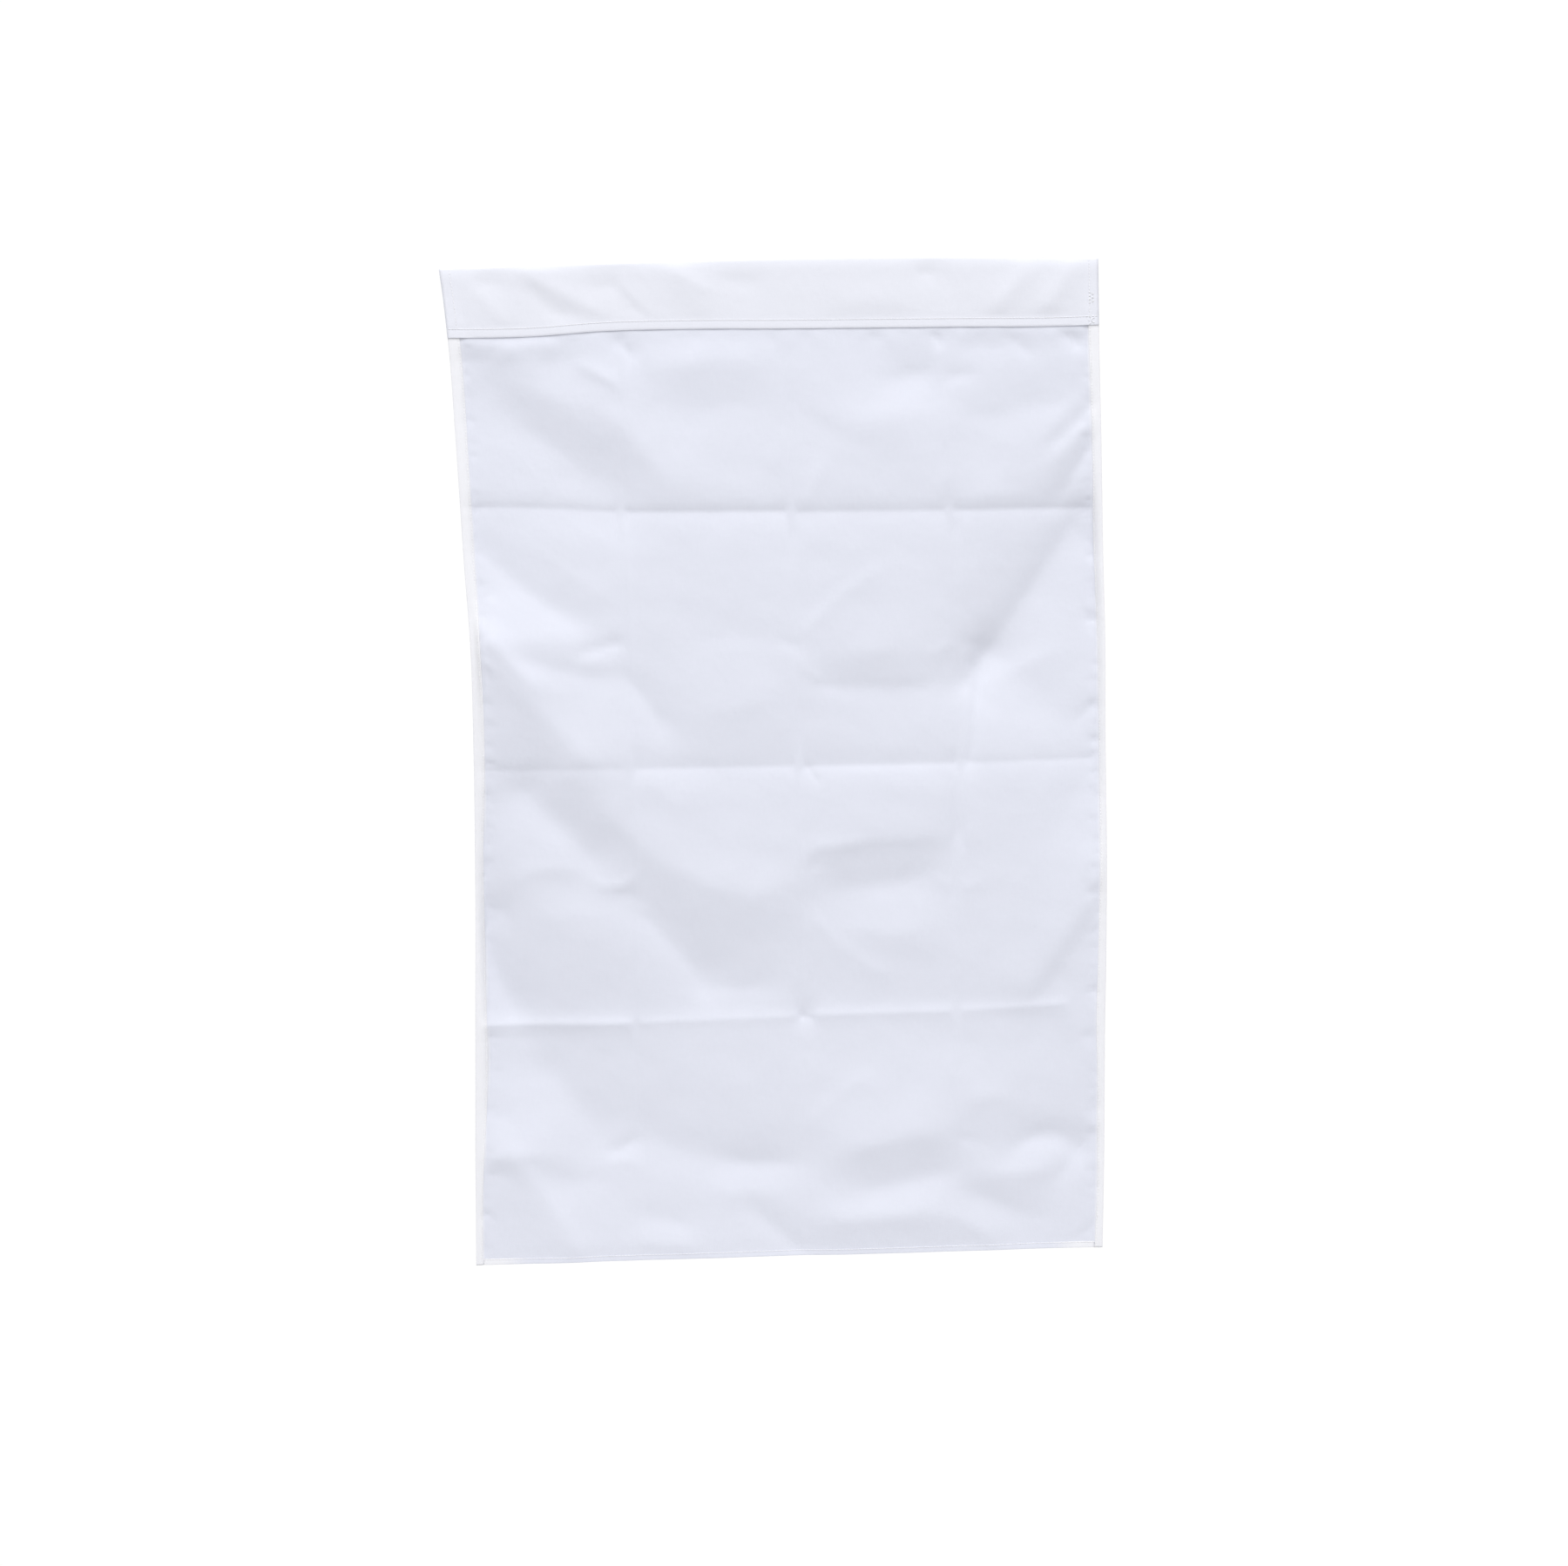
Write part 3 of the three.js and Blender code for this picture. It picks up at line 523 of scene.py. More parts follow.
def hem_puckers(settings):
    """Short slanting dents that start at the side hems' seams, as rows of the fold table.

    Their spacing, slant, length and depth are drawn from a seeded generator.
    """
    draw = np.random.default_rng(settings.pucker_seed)
    rows = []
    for side, inwards in ((0, 1), (1, -1)):
        height = lip_edge(0) - draw.uniform(*PUCKER_START)
        while height > bottom_edge(0) + PUCKER_END:
            reach = draw.uniform(*PUCKER_REACH)
            drop = draw.uniform(*PUCKER_DROP) * reach
            start = side_edge(np.array(height), side) + inwards * (hem_width(np.array(height), side) - PUCKER_OVERLAP)
            depth = -draw.uniform(*PUCKER_DEPTH)
            width = draw.uniform(*PUCKER_WIDTH)
            rows.append((float(start), height, float(start) + inwards * reach, height - drop,
                         0, depth, width, PUCKER_TAIL * width, PUCKER_SOFT, PUCKER_FADE))
            height -= draw.uniform(*PUCKER_STEP)
    for x in np.arange(*FOOT_PLACES):
        place = x + draw.uniform(*FOOT_SHIFT)
        foot = float(bottom_edge(place)) + settings.hem_bottom / MM - PUCKER_OVERLAP
        reach = draw.uniform(*FOOT_REACH)
        rows.append((place, foot, place + draw.uniform(*FOOT_LEAN), foot + reach,
                     0, -draw.uniform(*FOOT_DEPTH), *FOOT_WIDTHS, PUCKER_SOFT, PUCKER_FADE))
    return rows


def lip_puckers(settings):
    """Short slanting dents and bumps that hang from the sleeve's seam, as rows of the fold table."""
    draw = np.random.default_rng(settings.pucker_seed + 1)
    rows = []
    x = side_edge(0.0, 0) + LIP_PUCKER_INSET
    while x < side_edge(0.0, 1) - LIP_PUCKER_INSET:
        top = float(lip_edge(x)) + LIP_PUCKER_ABOVE
        reach = draw.uniform(*LIP_PUCKER_REACH)
        lean = draw.uniform(*LIP_PUCKER_LEAN) * reach
        width = draw.uniform(*LIP_PUCKER_WIDTH)
        depth = draw.uniform(*LIP_PUCKER_DEPTH)
        rows.append((x, top, x + lean, top - reach,
                     0, depth, width, LIP_PUCKER_TAIL * width, LIP_PUCKER_SOFT, PUCKER_FADE))
        x += draw.uniform(*LIP_PUCKER_STEP)
    return rows


class Surface:
    """The middle of the cloth: where a place on the cut sheet lies on the hung flag."""

    def __init__(self, settings):
        self.settings = settings
        self.panel_folds = (
            LEVEL_CREASES + UPRIGHT_CREASES + FIRST_ROW_FOLDS + SECOND_ROW_FOLDS + LONG_RIDGE_FOLDS
            + THIRD_ROW_FOLDS + FOURTH_ROW_FOLDS
        )
        self.fine_folds = SMALL_FOLDS + tuple(hem_puckers(settings)) + tuple(lip_puckers(settings))

    def lines(self):
        """The lines that the panel's bands run between, from the seam to the bottom edge."""
        seam = [lambda x: lip_edge(x) + LIP]
        creases = [lambda x, line=line: smooth_line(line, x) for line in CREASE_LINES]
        return seam + creases + [bottom_edge]

    def end_lift(self, across):
        """How far the hems push the lip out at its two ends: 1 over the hem, 0 past it."""
        return ease(1 - past_hem(across, lip_edge(x_at(across, 0.0))) / END_EASE)

    def front_out(self, depth, seam_depth, seam_out):
        """How far the sleeve's front stands out: front - lean * exp(-depth / lean_depth), eased in to the seam.

        A shallow dip below the fold takes SLEEVE_DIP off it.
        Over the first TOP_FOLD of depth d it is rounded in by sqrt(1 - (1 - d / fold)^2).
        """
        face = SLEEVE_FRONT - SLEEVE_LEAN * np.exp(-depth / SLEEVE_LEAN_DEPTH)
        face = face - SLEEVE_DIP * ease((depth - SLEEVE_DIP_FROM) / (SLEEVE_CROWN - SLEEVE_DIP_FROM))
        face = face + (seam_out - face) * ease((depth - SLEEVE_CROWN) / (seam_depth - SLEEVE_CROWN))
        return face * np.sqrt(1 - np.clip(1 - depth / TOP_FOLD, 0, 1) ** 2)

    def back_out(self, depth, seam_depth):
        """How far the sleeve's back stands back: an ellipse down to the crown's depth, then eased in to the seam."""
        arch = np.sqrt(1 - np.clip(1 - depth / SLEEVE_CROWN, 0, 1) ** 2)
        arch = (SLEEVE_BACK - self.settings.cloth_thickness / MM) * arch
        return arch * (1 - ease((depth - SLEEVE_CROWN) / (seam_depth - SLEEVE_CROWN)))

    def sleeve_fold(self, across, height, top, seam):
        """The sleeve's own folds, faded out at its top and at its seam."""
        fade = ease((top - height) / SLEEVE_FOLD_FADE) * ease((height - seam) / SEAM_FOLD_FADE)
        x = x_at(across, height)
        large = SLEEVE_FOLD_DEPTH * folds_out(SLEEVE_FOLDS, x, height)
        return (large + folds_out(SMALL_SLEEVE_FOLDS, x, height)) * fade

    def rows(self, segment, band, shares, across):
        """Points of one segment: shares down it by the places across, as x, y and height."""
        s = np.asarray(shares, float)[:, None]
        u = across(segment, band, s) if callable(across) else np.asarray(across, float)[None, :]
        if segment == BAND:
            return self.panel_rows(band, s, u)
        rough = x_at(u, 0.0)
        top = top_edge(rough) + 0 * s
        lip = lip_edge(x_at(u, lip_edge(rough))) + 0 * s
        seam = lip + LIP
        seam_depth = top - seam
        lift = self.end_lift(u) * self.settings.end_bulge / MM + LIP_WAVE * lip_wave(rough)
        front_seam = FRONT_SEAM + lift + 0 * s
        turned = TURNED_LAYER + lift + 0 * s
        radius = (front_seam - turned) / 2
        if segment == TURNED:
            height = lip + radius + (1 - s) * (TURNED_HEIGHT - radius)
            y = -turned
        elif segment == FOLDED:
            y = -(front_seam + turned) / 2 + radius * np.cos(np.pi * s)
            height = lip + radius - radius * np.sin(np.pi * s)
        elif segment == LIP_FRONT:
            height = lip + radius + s * (LIP - radius)
            y = -front_seam
        elif segment == FRONT:
            depth = seam_depth + s * (SLEEVE_CROWN - seam_depth)
            height = top - depth
            y = -self.front_out(depth, seam_depth, front_seam) - self.sleeve_fold(u, height, top, seam)
        elif segment == TOP:
            depth = SLEEVE_CROWN * (1 - np.sin(np.pi * s)) + 0 * u
            height = top - depth
            front = -self.front_out(depth, seam_depth, front_seam) - self.sleeve_fold(u, height, top, seam)
            y = np.where(s < 0.5, front, self.back_out(depth, seam_depth))
        else:
            depth = SLEEVE_CROWN + s * (seam_depth - SLEEVE_CROWN)
            height = top - depth
            y = self.back_out(depth, seam_depth)
        pinch = np.exp(-((height - seam) / SEAM_PINCH_WIDTH) ** 2) * SEAM_PINCH
        y = y + np.where(np.isin(segment, (TURNED, LIP_FRONT, FRONT)), pinch, 0)
        return x_at(u, height), y, height

    def panel_rows(self, band, s, u):
        """Points of one band of the panel, between two of its lines."""
        upper, lower = self.lines()[band:band + 2]
        rough = x_at(u, float(upper(0.0)) * (1 - s) + float(lower(0.0)) * s)
        height = upper(rough) * (1 - s) + lower(rough) * s
        x = x_at(u, height)
        below_lip = lip_edge(x) - LIP_CLEAR - height
        stiff = HEM_KEEPS + (1 - HEM_KEEPS) * ease(past_hem(u, height) / HEM_EASE + HEM_KEEPS_FROM)
        fine = folds_out(self.fine_folds, x, height) + crumple(x, height, self.settings)
        out = folds_out(self.panel_folds, x, height) * ease(below_lip / LIP_FADE) + fine * ease(below_lip / FINE_FADE)
        return x, -out * stiff * self.settings.fold_depth, height

    def grid(self, stations, across):
        """Points in metres for a list of (segment, band, shares), as an array of rows, places and xyz."""
        parts = [np.stack(self.rows(*station, across), -1) for station in stations]
        points = np.concatenate(parts)
        points[..., 2] -= TOP_CROWN
        return points * MM


def grid_normals(points):
    """Unit cross products of the grid's two directions: towards the viewer on the panel."""
    down = np.gradient(points, axis=0)
    right = np.gradient(points, axis=1)
    normals = np.cross(down, right)
    return normals / np.linalg.norm(normals, axis=-1, keepdims=True)


def split_rows(rows):
    """The rows with a new one halfway between each two."""
    fine = np.empty(2 * len(rows) - 1)
    fine[0::2] = rows
    fine[1::2] = (rows[:-1] + rows[1:]) / 2
    return fine


def band_shares(length, past_end):
    """Shares down a band: close together near its two ends, and wider apart between."""
    stops = [0.0]
    while stops[-1] < length:
        from_crease = min(stops[-1], length - stops[-1] + past_end)
        step = CREASE_STEP + (BODY_STEP - CREASE_STEP) * float(ease((from_crease - CREASE_NEAR) / CREASE_SPREAD))
        stops.append(stops[-1] + step)
    return np.array(stops[:-1]) / stops[-1]


def across_shares():
    """Shares across the sheet: border, body with finer steps at the upright creases, border."""
    width = float(RIGHT_CORNER - LEFT_CORNER)
    edge = BORDER / width
    border = np.linspace(0, edge, int(round(BORDER / BORDER_STEP)) + 1)
    stops = [edge]
    while stops[-1] < 1 - edge:
        near = min(abs(stops[-1] - share) for share in UPRIGHT_SHARES) * width
        step = CREASE_STEP + (BODY_STEP - CREASE_STEP) * float(ease((near - UPRIGHT_NEAR) / UPRIGHT_SPREAD))
        stops.append(stops[-1] + step / width)
    stops = np.array(stops)
    body = edge + (stops - edge) * (1 - 2 * edge) / (stops[-1] - edge)
    return border, body, 1 - border[::-1]


def link_mesh(name, points, faces, uv=None, layers=None):
    """A new object at the origin from points and faces, with smooth faces and, where given, uv and layers."""
    mesh = bpy.data.meshes.new(name)
    mesh.from_pydata(points.tolist(), [], faces)
    mesh.polygons.foreach_set("use_smooth", np.ones(len(mesh.polygons), bool))
    corner = np.empty(len(mesh.loops), np.int32)
    mesh.loops.foreach_get("vertex_index", corner)
    if uv is not None:
        layer = mesh.uv_layers.new(name="cut")
        layer.data.foreach_set("uv", uv[corner].astype(np.float32).ravel())
    if layers is not None:
        attribute = mesh.attributes.new("layers", "FLOAT", "POINT")
        attribute.data.foreach_set("value", layers.astype(np.float32))
    mesh.update()
    piece = bpy.data.objects.new(name, mesh)
    bpy.context.scene.collection.objects.link(piece)
    return piece


def rim_of(index):
    """The outer points of an index grid in order: down the left, along the bottom, up the right and back."""
    return np.concatenate([index[:-1, 0], index[-1, :-1], index[:0:-1, -1], index[0, :0:-1]])


def quads_of(index):
    """The quads of an index grid, facing the way its rows and places turn."""
    return np.stack([index[:-1, :-1], index[1:, :-1], index[1:, 1:], index[:-1, 1:]], -1).reshape(-1, 4)


def shell(name, front, back, uv, layers):
    """A closed shell between two grids of points."""
    high, wide = front.shape[:2]
    count = high * wide
    index = np.arange(count).reshape(high, wide)
    rim = rim_of(index)
    onward = np.roll(rim, -1)
    sides = np.stack([rim, rim + count, onward + count, onward], -1)
    faces = np.concatenate([quads_of(index), quads_of(index)[:, ::-1] + count, sides])
    points = np.concatenate([front.reshape(-1, 3), back.reshape(-1, 3)])
    both_uv = np.concatenate([uv.reshape(-1, 2)] * 2)
    return link_mesh(name, points, faces.tolist(), both_uv, np.concatenate([layers.ravel()] * 2))


def cut_uv(points):
    """Where each grid point lies on the flat cut, in metres: the lengths along the grid's middle lines."""
    middle = points.shape[1] // 2
    down = np.linalg.norm(np.diff(points[:, middle], axis=0), axis=-1)
    along = np.concatenate([[0], np.cumsum(down)])
    widths = np.linalg.norm(np.diff(points[-1], axis=0), axis=-1)
    across = np.concatenate([[0], np.cumsum(widths)])
    return np.stack(np.broadcast_arrays(across[None, :], -along[:, None]), -1)


def cloth_stations():
    """The rows of the cut sheet, from the turned-in edge to the bottom, as (segment, band, shares)."""
    stations = [(segment, 0, split_rows(np.linspace(0, 1, count))[:-1]) for segment, count in SEGMENT_ROWS]
    for band, (length, past_end) in enumerate(BANDS):
        shares = np.append(band_shares(length, past_end), 1.0)
        stations.append((BAND, band, split_rows(shares)[:-1]))
    return stations + [(BAND, LAST_BAND, np.array([1.0]))]


def make_cloth(settings, surface):
    """The whole cloth as one closed shell: fine rows in the two borders and every other row in the body."""
    left, body, right = across_shares()
    across = np.concatenate([left, body[1:-1], right])
    stations = cloth_stations()
    middle = surface.grid(stations, across)
    normals = grid_normals(middle)
    half = settings.cloth_thickness / 2
    rows, columns = middle.shape[:2]
    first, last = len(left) - 1, columns - len(right)
    keep = np.ones((rows, columns), bool)
    keep[1::2, first + 1:last] = False
    count = int(keep.sum())
    index = np.cumsum(keep.ravel()).reshape(rows, columns) - 1
    left_index, body_index, right_index = index[:, :first + 1], index[::2, first + 1:last], index[:, last:]
    quads = np.concatenate([quads_of(left_index), quads_of(body_index), quads_of(right_index)])
    left_joint = np.stack([left_index[:-2:2, -1], left_index[1::2, -1], left_index[2::2, -1],
                           body_index[1:, 0], body_index[:-1, 0]], -1)
    right_joint = np.stack([body_index[:-1, -1], body_index[1:, -1], right_index[2::2, 0],
                            right_index[1::2, 0], right_index[:-2:2, 0]], -1)
    fives = np.concatenate([left_joint, right_joint])
    rim = rim_of(index)
    rim = rim[keep.ravel()[rim_of(np.arange(rows * columns).reshape(rows, columns))]]
    onward = np.roll(rim, -1)
    sides = np.stack([rim, rim + count, onward + count, onward], -1)
    faces = quads.tolist() + fives.tolist() + (quads[:, ::-1] + count).tolist()
    faces += (fives[:, ::-1] + count).tolist() + sides.tolist()
    points = np.concatenate([(middle + half * normals)[keep], (middle - half * normals)[keep]])
    uv = cut_uv(middle)[keep]
    layers = doubled_layers(stations, across, middle)[keep]
    cloth = link_mesh("flag_cloth", points, faces, np.concatenate([uv, uv]), np.concatenate([layers, layers]))
    cloth.data.materials.append(woven_material("flag_cloth", settings.cloth_colour, settings.hem_colour))
    return cloth, cut_uv(middle)


def doubled_layers(stations, across, middle):
    """How far each place shows doubled cloth: 0 on the single panel, 1 on a hem, and the sleeve between."""
    height = middle[..., 2] / MM + TOP_CROWN
    on_hem = ease(0.5 - past_hem(across[None, :], height) / 2)
    parts = [np.full(len(shares), 0.0 if segment == BAND else SLEEVE_LAYERS) for segment, band, shares in stations]
    on_sleeve = np.concatenate(parts)[:, None]
    return np.where(on_sleeve > 0, on_sleeve, on_hem)


def hem_thickness_at(settings, places):
    """A hem's thickness over its width: (1 - |2p - 1|^power)^(1/2), with a groove at the seam."""
    round_edge = np.sqrt(np.maximum(0, 1 - np.abs(2 * places - 1) ** HEM_POWER))
    groove = 1 - GROOVE_DEPTH * np.exp(-((places - SEAM_PLACE) / GROOVE_WIDTH) ** 2)
    return (HEM_RIM + (1 - HEM_RIM) * round_edge * groove) * settings.hem_thickness


def bottom_thickness_at(settings, places):
    """The bottom hem's thickness over its width: rounded at the edge and pressed thin towards its seam."""
    edge = np.sqrt(1 - np.clip(1 - places / BOTTOM_RIM, 0, 1) ** 2)
    share = BOTTOM_RIM + (1 - BOTTOM_RIM) * edge * (1 - BOTTOM_TAPER * places)
    return share * settings.hem_thickness * BOTTOM_THIN


def hem_across(side, places):
    """A function that gives the shares across the sheet at places from the side's edge to its hem's inner edge."""
    def across(segment, band, s):
        height = band_height(band, s) if segment == BAND else 0 * s
        wide = side_edge(height, 1) - side_edge(height, 0)
        share = places[None, :] * hem_width(height, side) / wide
        return 1 - share if side else share
    return across


def band_height(band, s):
    """Roughly how high a share of a band lies."""
    stops = [LIP_LINE[LIP_MIDDLE, 1] + LIP] + [float(np.mean(line[:, 1])) for line in CREASE_LINES]
    stops.append((BOTTOM_LEFT + BOTTOM_RIGHT) / 2)
    return stops[band] + (stops[band + 1] - stops[band]) * s


def hem_strip(name, settings, middle, thick, layers):
    """A hem on the viewer's side of the cloth: its back at middle + lift * normal, its front further by thick."""
    normals = grid_normals(middle)
    lift = settings.cloth_thickness / 2 + HEM_CLEAR * MM
    piece = shell(name, middle + (lift + thick) * normals, middle + lift * normals, cut_uv(middle), layers)
    piece.data.materials.append(woven_material("hem_cloth", settings.cloth_colour, settings.hem_colour))
    return piece


def make_side_hem(settings, surface, side):
    """A side hem: the cloth's edge turned over twice, as a flat strip with rounded edges."""
    places = HEM_PLACES[::-1] if side else HEM_PLACES
    stations = [station for station in cloth_stations() if station[0] in (TOP, BACK, BAND)]
    middle = surface.grid(stations, hem_across(side, places))
    thick = hem_thickness_at(settings, places)[None, :, None]
    name = ("side_hem_left", "side_hem_right")[side]
    return hem_strip(name, settings, middle, thick, np.ones(middle.shape[:2]))


def make_bottom_hem(settings, surface):
    """The bottom hem, turned over between the two side hems, as a strip like theirs."""
    width = RIGHT_CORNER - LEFT_CORNER
    places = HEM_PLACES[::-1]
    shares = 1 - places * settings.hem_bottom / MM / LAST_BAND_HEIGHT
    low = bottom_edge(0.0)
    ends = ((hem_width(low, 0) + BOTTOM_GAP) / width, 1 - (hem_width(low, 1) + BOTTOM_GAP) / width)
    across = np.linspace(*ends, int(width / BOTTOM_STEP))
    middle = surface.grid([(BAND, LAST_BAND, shares)], across)
    thick = bottom_thickness_at(settings, places)[:, None, None]
    from_end = np.minimum(across, 1 - across) * width
    layers = 1 - ease((from_end - PALE_END) / PALE_SPREAD)
    return hem_strip("bottom_hem", settings, middle, thick, np.broadcast_to(layers[None, :], middle.shape[:2]))


def stitch_row(name, settings, line, normals, lift):
    """A row of lockstitches along a line on the cloth: each a short thread, arched and round.

    Over its share q a stitch stands at lift + r * (1 - dip * (2q - 1)^4), and its radius there is
    r * (1 - thin * (2q - 1)^4).
    """
    steps = np.linalg.norm(np.diff(line, axis=0), axis=-1)
    along = np.concatenate([[0], np.cumsum(steps)])
    pitch = settings.stitch_pitch
    count = int(along[-1] / pitch)
    starts = (np.arange(count) + 0.5) * (along[-1] / count) - 0.5 * STITCH_FILL * pitch
    q = STITCH_SHARES
    bend = (2 * q - 1) ** 4
    at = starts[:, None] + q[None, :] * STITCH_FILL * pitch
    centre = np.stack([np.interp(at, along, line[:, i]) for i in range(3)], -1)
    up = np.stack([np.interp(at, along, normals[:, i]) for i in range(3)], -1)
    up /= np.linalg.norm(up, axis=-1, keepdims=True)
    tangent = np.gradient(centre, axis=1)
    tangent /= np.linalg.norm(tangent, axis=-1, keepdims=True)
    side = np.cross(tangent, up)
    radius = settings.thread_width / 2
    rise = lift + radius * (1 - STITCH_DIP * bend)
    centre = centre + up * rise[None, :, None]
    thin = 1 - STITCH_THIN * bend
    turns = np.linspace(0, 2 * np.pi, STITCH_SIDES, endpoint=False)
    ring = np.cos(turns)[:, None] * side[:, :, None, :] + np.sin(turns)[:, None] * up[:, :, None, :]
    points = centre[:, :, None, :] + radius * thin[None, :, None, None] * ring
    per = len(q) * STITCH_SIDES
    ring_index = np.arange(per).reshape(len(q), STITCH_SIDES)
    following = np.roll(ring_index, -1, axis=1)
    tube = np.stack([ring_index[:-1], ring_index[1:], following[1:], following[:-1]], -1).reshape(-1, 4)
    offsets = (np.arange(count) * per)[:, None]
    faces = (tube[None] + offsets[:, :, None]).reshape(-1, 4).tolist()
    faces += (ring_index[0][None] + offsets).tolist()
    faces += (ring_index[-1][::-1][None] + offsets).tolist()
    return link_mesh(name, points.reshape(-1, 3), faces)


def merge_pieces(name, pieces, material):
    """Several meshes of one kind joined into one object."""
    points, faces, start = [], [], 0
    for piece in pieces:
        mesh = piece.data
        co = np.empty(len(mesh.vertices) * 3)
        mesh.vertices.foreach_get("co", co)
        points.append(co.reshape(-1, 3))
        faces += [[v + start for v in polygon.vertices] for polygon in mesh.polygons]
        start += len(mesh.vertices)
        bpy.data.objects.remove(piece)
    joined = link_mesh(name, np.concatenate(points), faces)
    joined.data.materials.append(material)
    return joined


def seam_line(surface, station, across):
    """Points and normals along one row of the surface."""
    segment, band, share = station
    near = np.array([share - NEAR_SHARE, share, share + NEAR_SHARE])
    points = surface.grid([(segment, band, near)], across)
    return points[1], grid_normals(points)[1]


def tack_line(surface, high, low):
    """Points and normals of a zigzag down the sleeve's front at its right end, between two heights."""
    heights = np.arange(high, low, -TACK_STEP)
    seam = float(lip_edge(TACK_RIGHT)) + LIP
    if high < seam:
        segment, shares = LIP_FRONT, 1 + (heights - seam) / LIP
    else:
        segment, shares = FRONT, (heights - seam) / (float(top_edge(TACK_RIGHT)) - SLEEVE_CROWN - seam)
    left, right = (float(side_edge(np.array(high), side)) for side in (0, 1))
    across = (np.array([TACK_LEFT, TACK_RIGHT]) - left) / (right - left)
    points = surface.grid([(segment, 0, shares)], across)
    rows = np.arange(len(heights))
    return points[rows, rows % 2], grid_normals(points)[rows, rows % 2]


def side_line(surface, side, segments):
    """Points and normals down a side hem's seam."""
    near = np.array([SEAM_PLACE - NEAR_PLACE, SEAM_PLACE, SEAM_PLACE + NEAR_PLACE])
    stations = [station for station in cloth_stations() if station[0] in segments]
    points = surface.grid(stations, hem_across(side, near[::-1] if side else near))
    return points[:, 1], grid_normals(points)[:, 1]


def add_node(tree, kind, inputs=None, **fields):
    """A new node: its fields are set first, then each input gets a value or a link from a socket."""
    node = tree.nodes.new(kind)
    for field, value in fields.items():
        setattr(node, field, value)
    for place, value in (inputs or {}).items():
        if isinstance(value, bpy.types.NodeSocket):
            tree.links.new(value, node.inputs[place])
        else:
            node.inputs[place].default_value = value
    return node


def new_material(name, inputs):
    """A material with its node tree and its shader, whose named inputs are set."""
    material = bpy.data.materials.new(name)
    material.use_nodes = True
    shader = material.node_tree.nodes["Principled BSDF"]
    for place, value in inputs.items():
        shader.inputs[place].default_value = value
    return material, material.node_tree, shader


def thread_material(settings):
    """Twisted polyester thread: fine slanting grooves and a soft shine."""
    material, tree, shader = new_material("thread", {"Base Color": (*settings.thread_colour, 1), "Roughness": 0.5})
    place = add_node(tree, "ShaderNodeTexCoord")
    twist = add_node(tree, "ShaderNodeTexWave", {"Scale": TWIST_SCALE, "Vector": place.outputs["Object"]},
                     bands_direction="DIAGONAL")
    bump = add_node(tree, "ShaderNodeBump", {"Strength": 0.5, "Distance": TWIST_DEPTH, "Height": twist.outputs["Fac"]})
    tree.links.new(bump.outputs["Normal"], shader.inputs["Normal"])
    return material


def woven_material(name, colour, doubled_colour):
    """Plain-weave polyester: threads over and under, uneven threads, faint clouds of tone, fine crumple.

    The weave's height is |sin| of the place over the pitch along the one thread or the other, as a checker of
    the same pitch says. The attribute layers mixes the colour of single cloth with that of doubled cloth.
    """
    found = bpy.data.materials.get(name)
    if found:
        return found
    material, tree, shader = new_material(name, {
        "Roughness": 0.72, "Specular IOR Level": 0.25, "Sheen Weight": 0.12, "Sheen Roughness": 0.5})
    cut = add_node(tree, "ShaderNodeUVMap", uv_map="cut").outputs["UV"]

    def stretched_noise(scales, detail):
        mapping = add_node(tree, "ShaderNodeMapping", {"Scale": (*scales, 1), "Vector": cut})
        noise = add_node(tree, "ShaderNodeTexNoise", {
            "Scale": 1, "Detail": detail, "Vector": mapping.outputs["Vector"]})
        return noise.outputs["Fac"]

    def math(operation, *values):
        return add_node(tree, "ShaderNodeMath", dict(enumerate(values)), operation=operation).outputs["Value"]

    split = add_node(tree, "ShaderNodeSeparateXYZ", {"Vector": cut})
    turn = np.pi / WEAVE_PITCH
    warp, weft = (math("ABSOLUTE", math("SINE", math("MULTIPLY", split.outputs[axis], turn))) for axis in "XY")
    checker = add_node(tree, "ShaderNodeTexChecker", {"Scale": 1 / WEAVE_PITCH, "Vector": cut})
    weave = add_node(tree, "ShaderNodeMix", {"Factor": checker.outputs["Fac"], "A": warp, "B": weft},
                     data_type="FLOAT")

    slubs = math("ADD", stretched_noise(SLUB_SCALES, 2), stretched_noise(SLUB_SCALES[::-1], 2))
    clouds = stretched_noise(CLOUD_SCALES, 2)
    tone = math("MULTIPLY_ADD", slubs, SLUB_TONE, 1 - SLUB_TONE)
    tone = math("MULTIPLY", tone, math("MULTIPLY_ADD", clouds, CLOUD_TONE, 1 - CLOUD_TONE / 2))
    doubled = add_node(tree, "ShaderNodeAttribute", attribute_name="layers")
    base = add_node(tree, "ShaderNodeMix", {
        "Factor": doubled.outputs["Fac"], "A": (*colour, 1), "B": (*doubled_colour, 1)}, data_type="RGBA")
    shade = add_node(tree, "ShaderNodeVectorMath", {
        "Vector": base.outputs["Result"], "Scale": tone}, operation="SCALE")
    tree.links.new(shade.outputs["Vector"], shader.inputs["Base Color"])

    crumpled = add_node(tree, "ShaderNodeBump", {
        "Strength": 1, "Distance": CRUMPLE_DEPTH, "Height": stretched_noise(CRUMPLE_SCALES, 3)})
    fine = add_node(tree, "ShaderNodeBump", {
        "Strength": 1, "Distance": WEAVE_DEPTH,
        "Height": weave.outputs["Result"], "Normal": crumpled.outputs["Normal"]})
    tree.links.new(fine.outputs["Normal"], shader.inputs["Normal"])
    return material


def as_number(name, description, default, **limits):
    """A setting that is a number."""
    return bpy.props.FloatProperty(name=name, description=description, default=default, **limits)


def as_length(name, description, default, **limits):
    """A setting that is a length in metres."""
    return as_number(name, description, default, unit="LENGTH", precision=5, **limits)


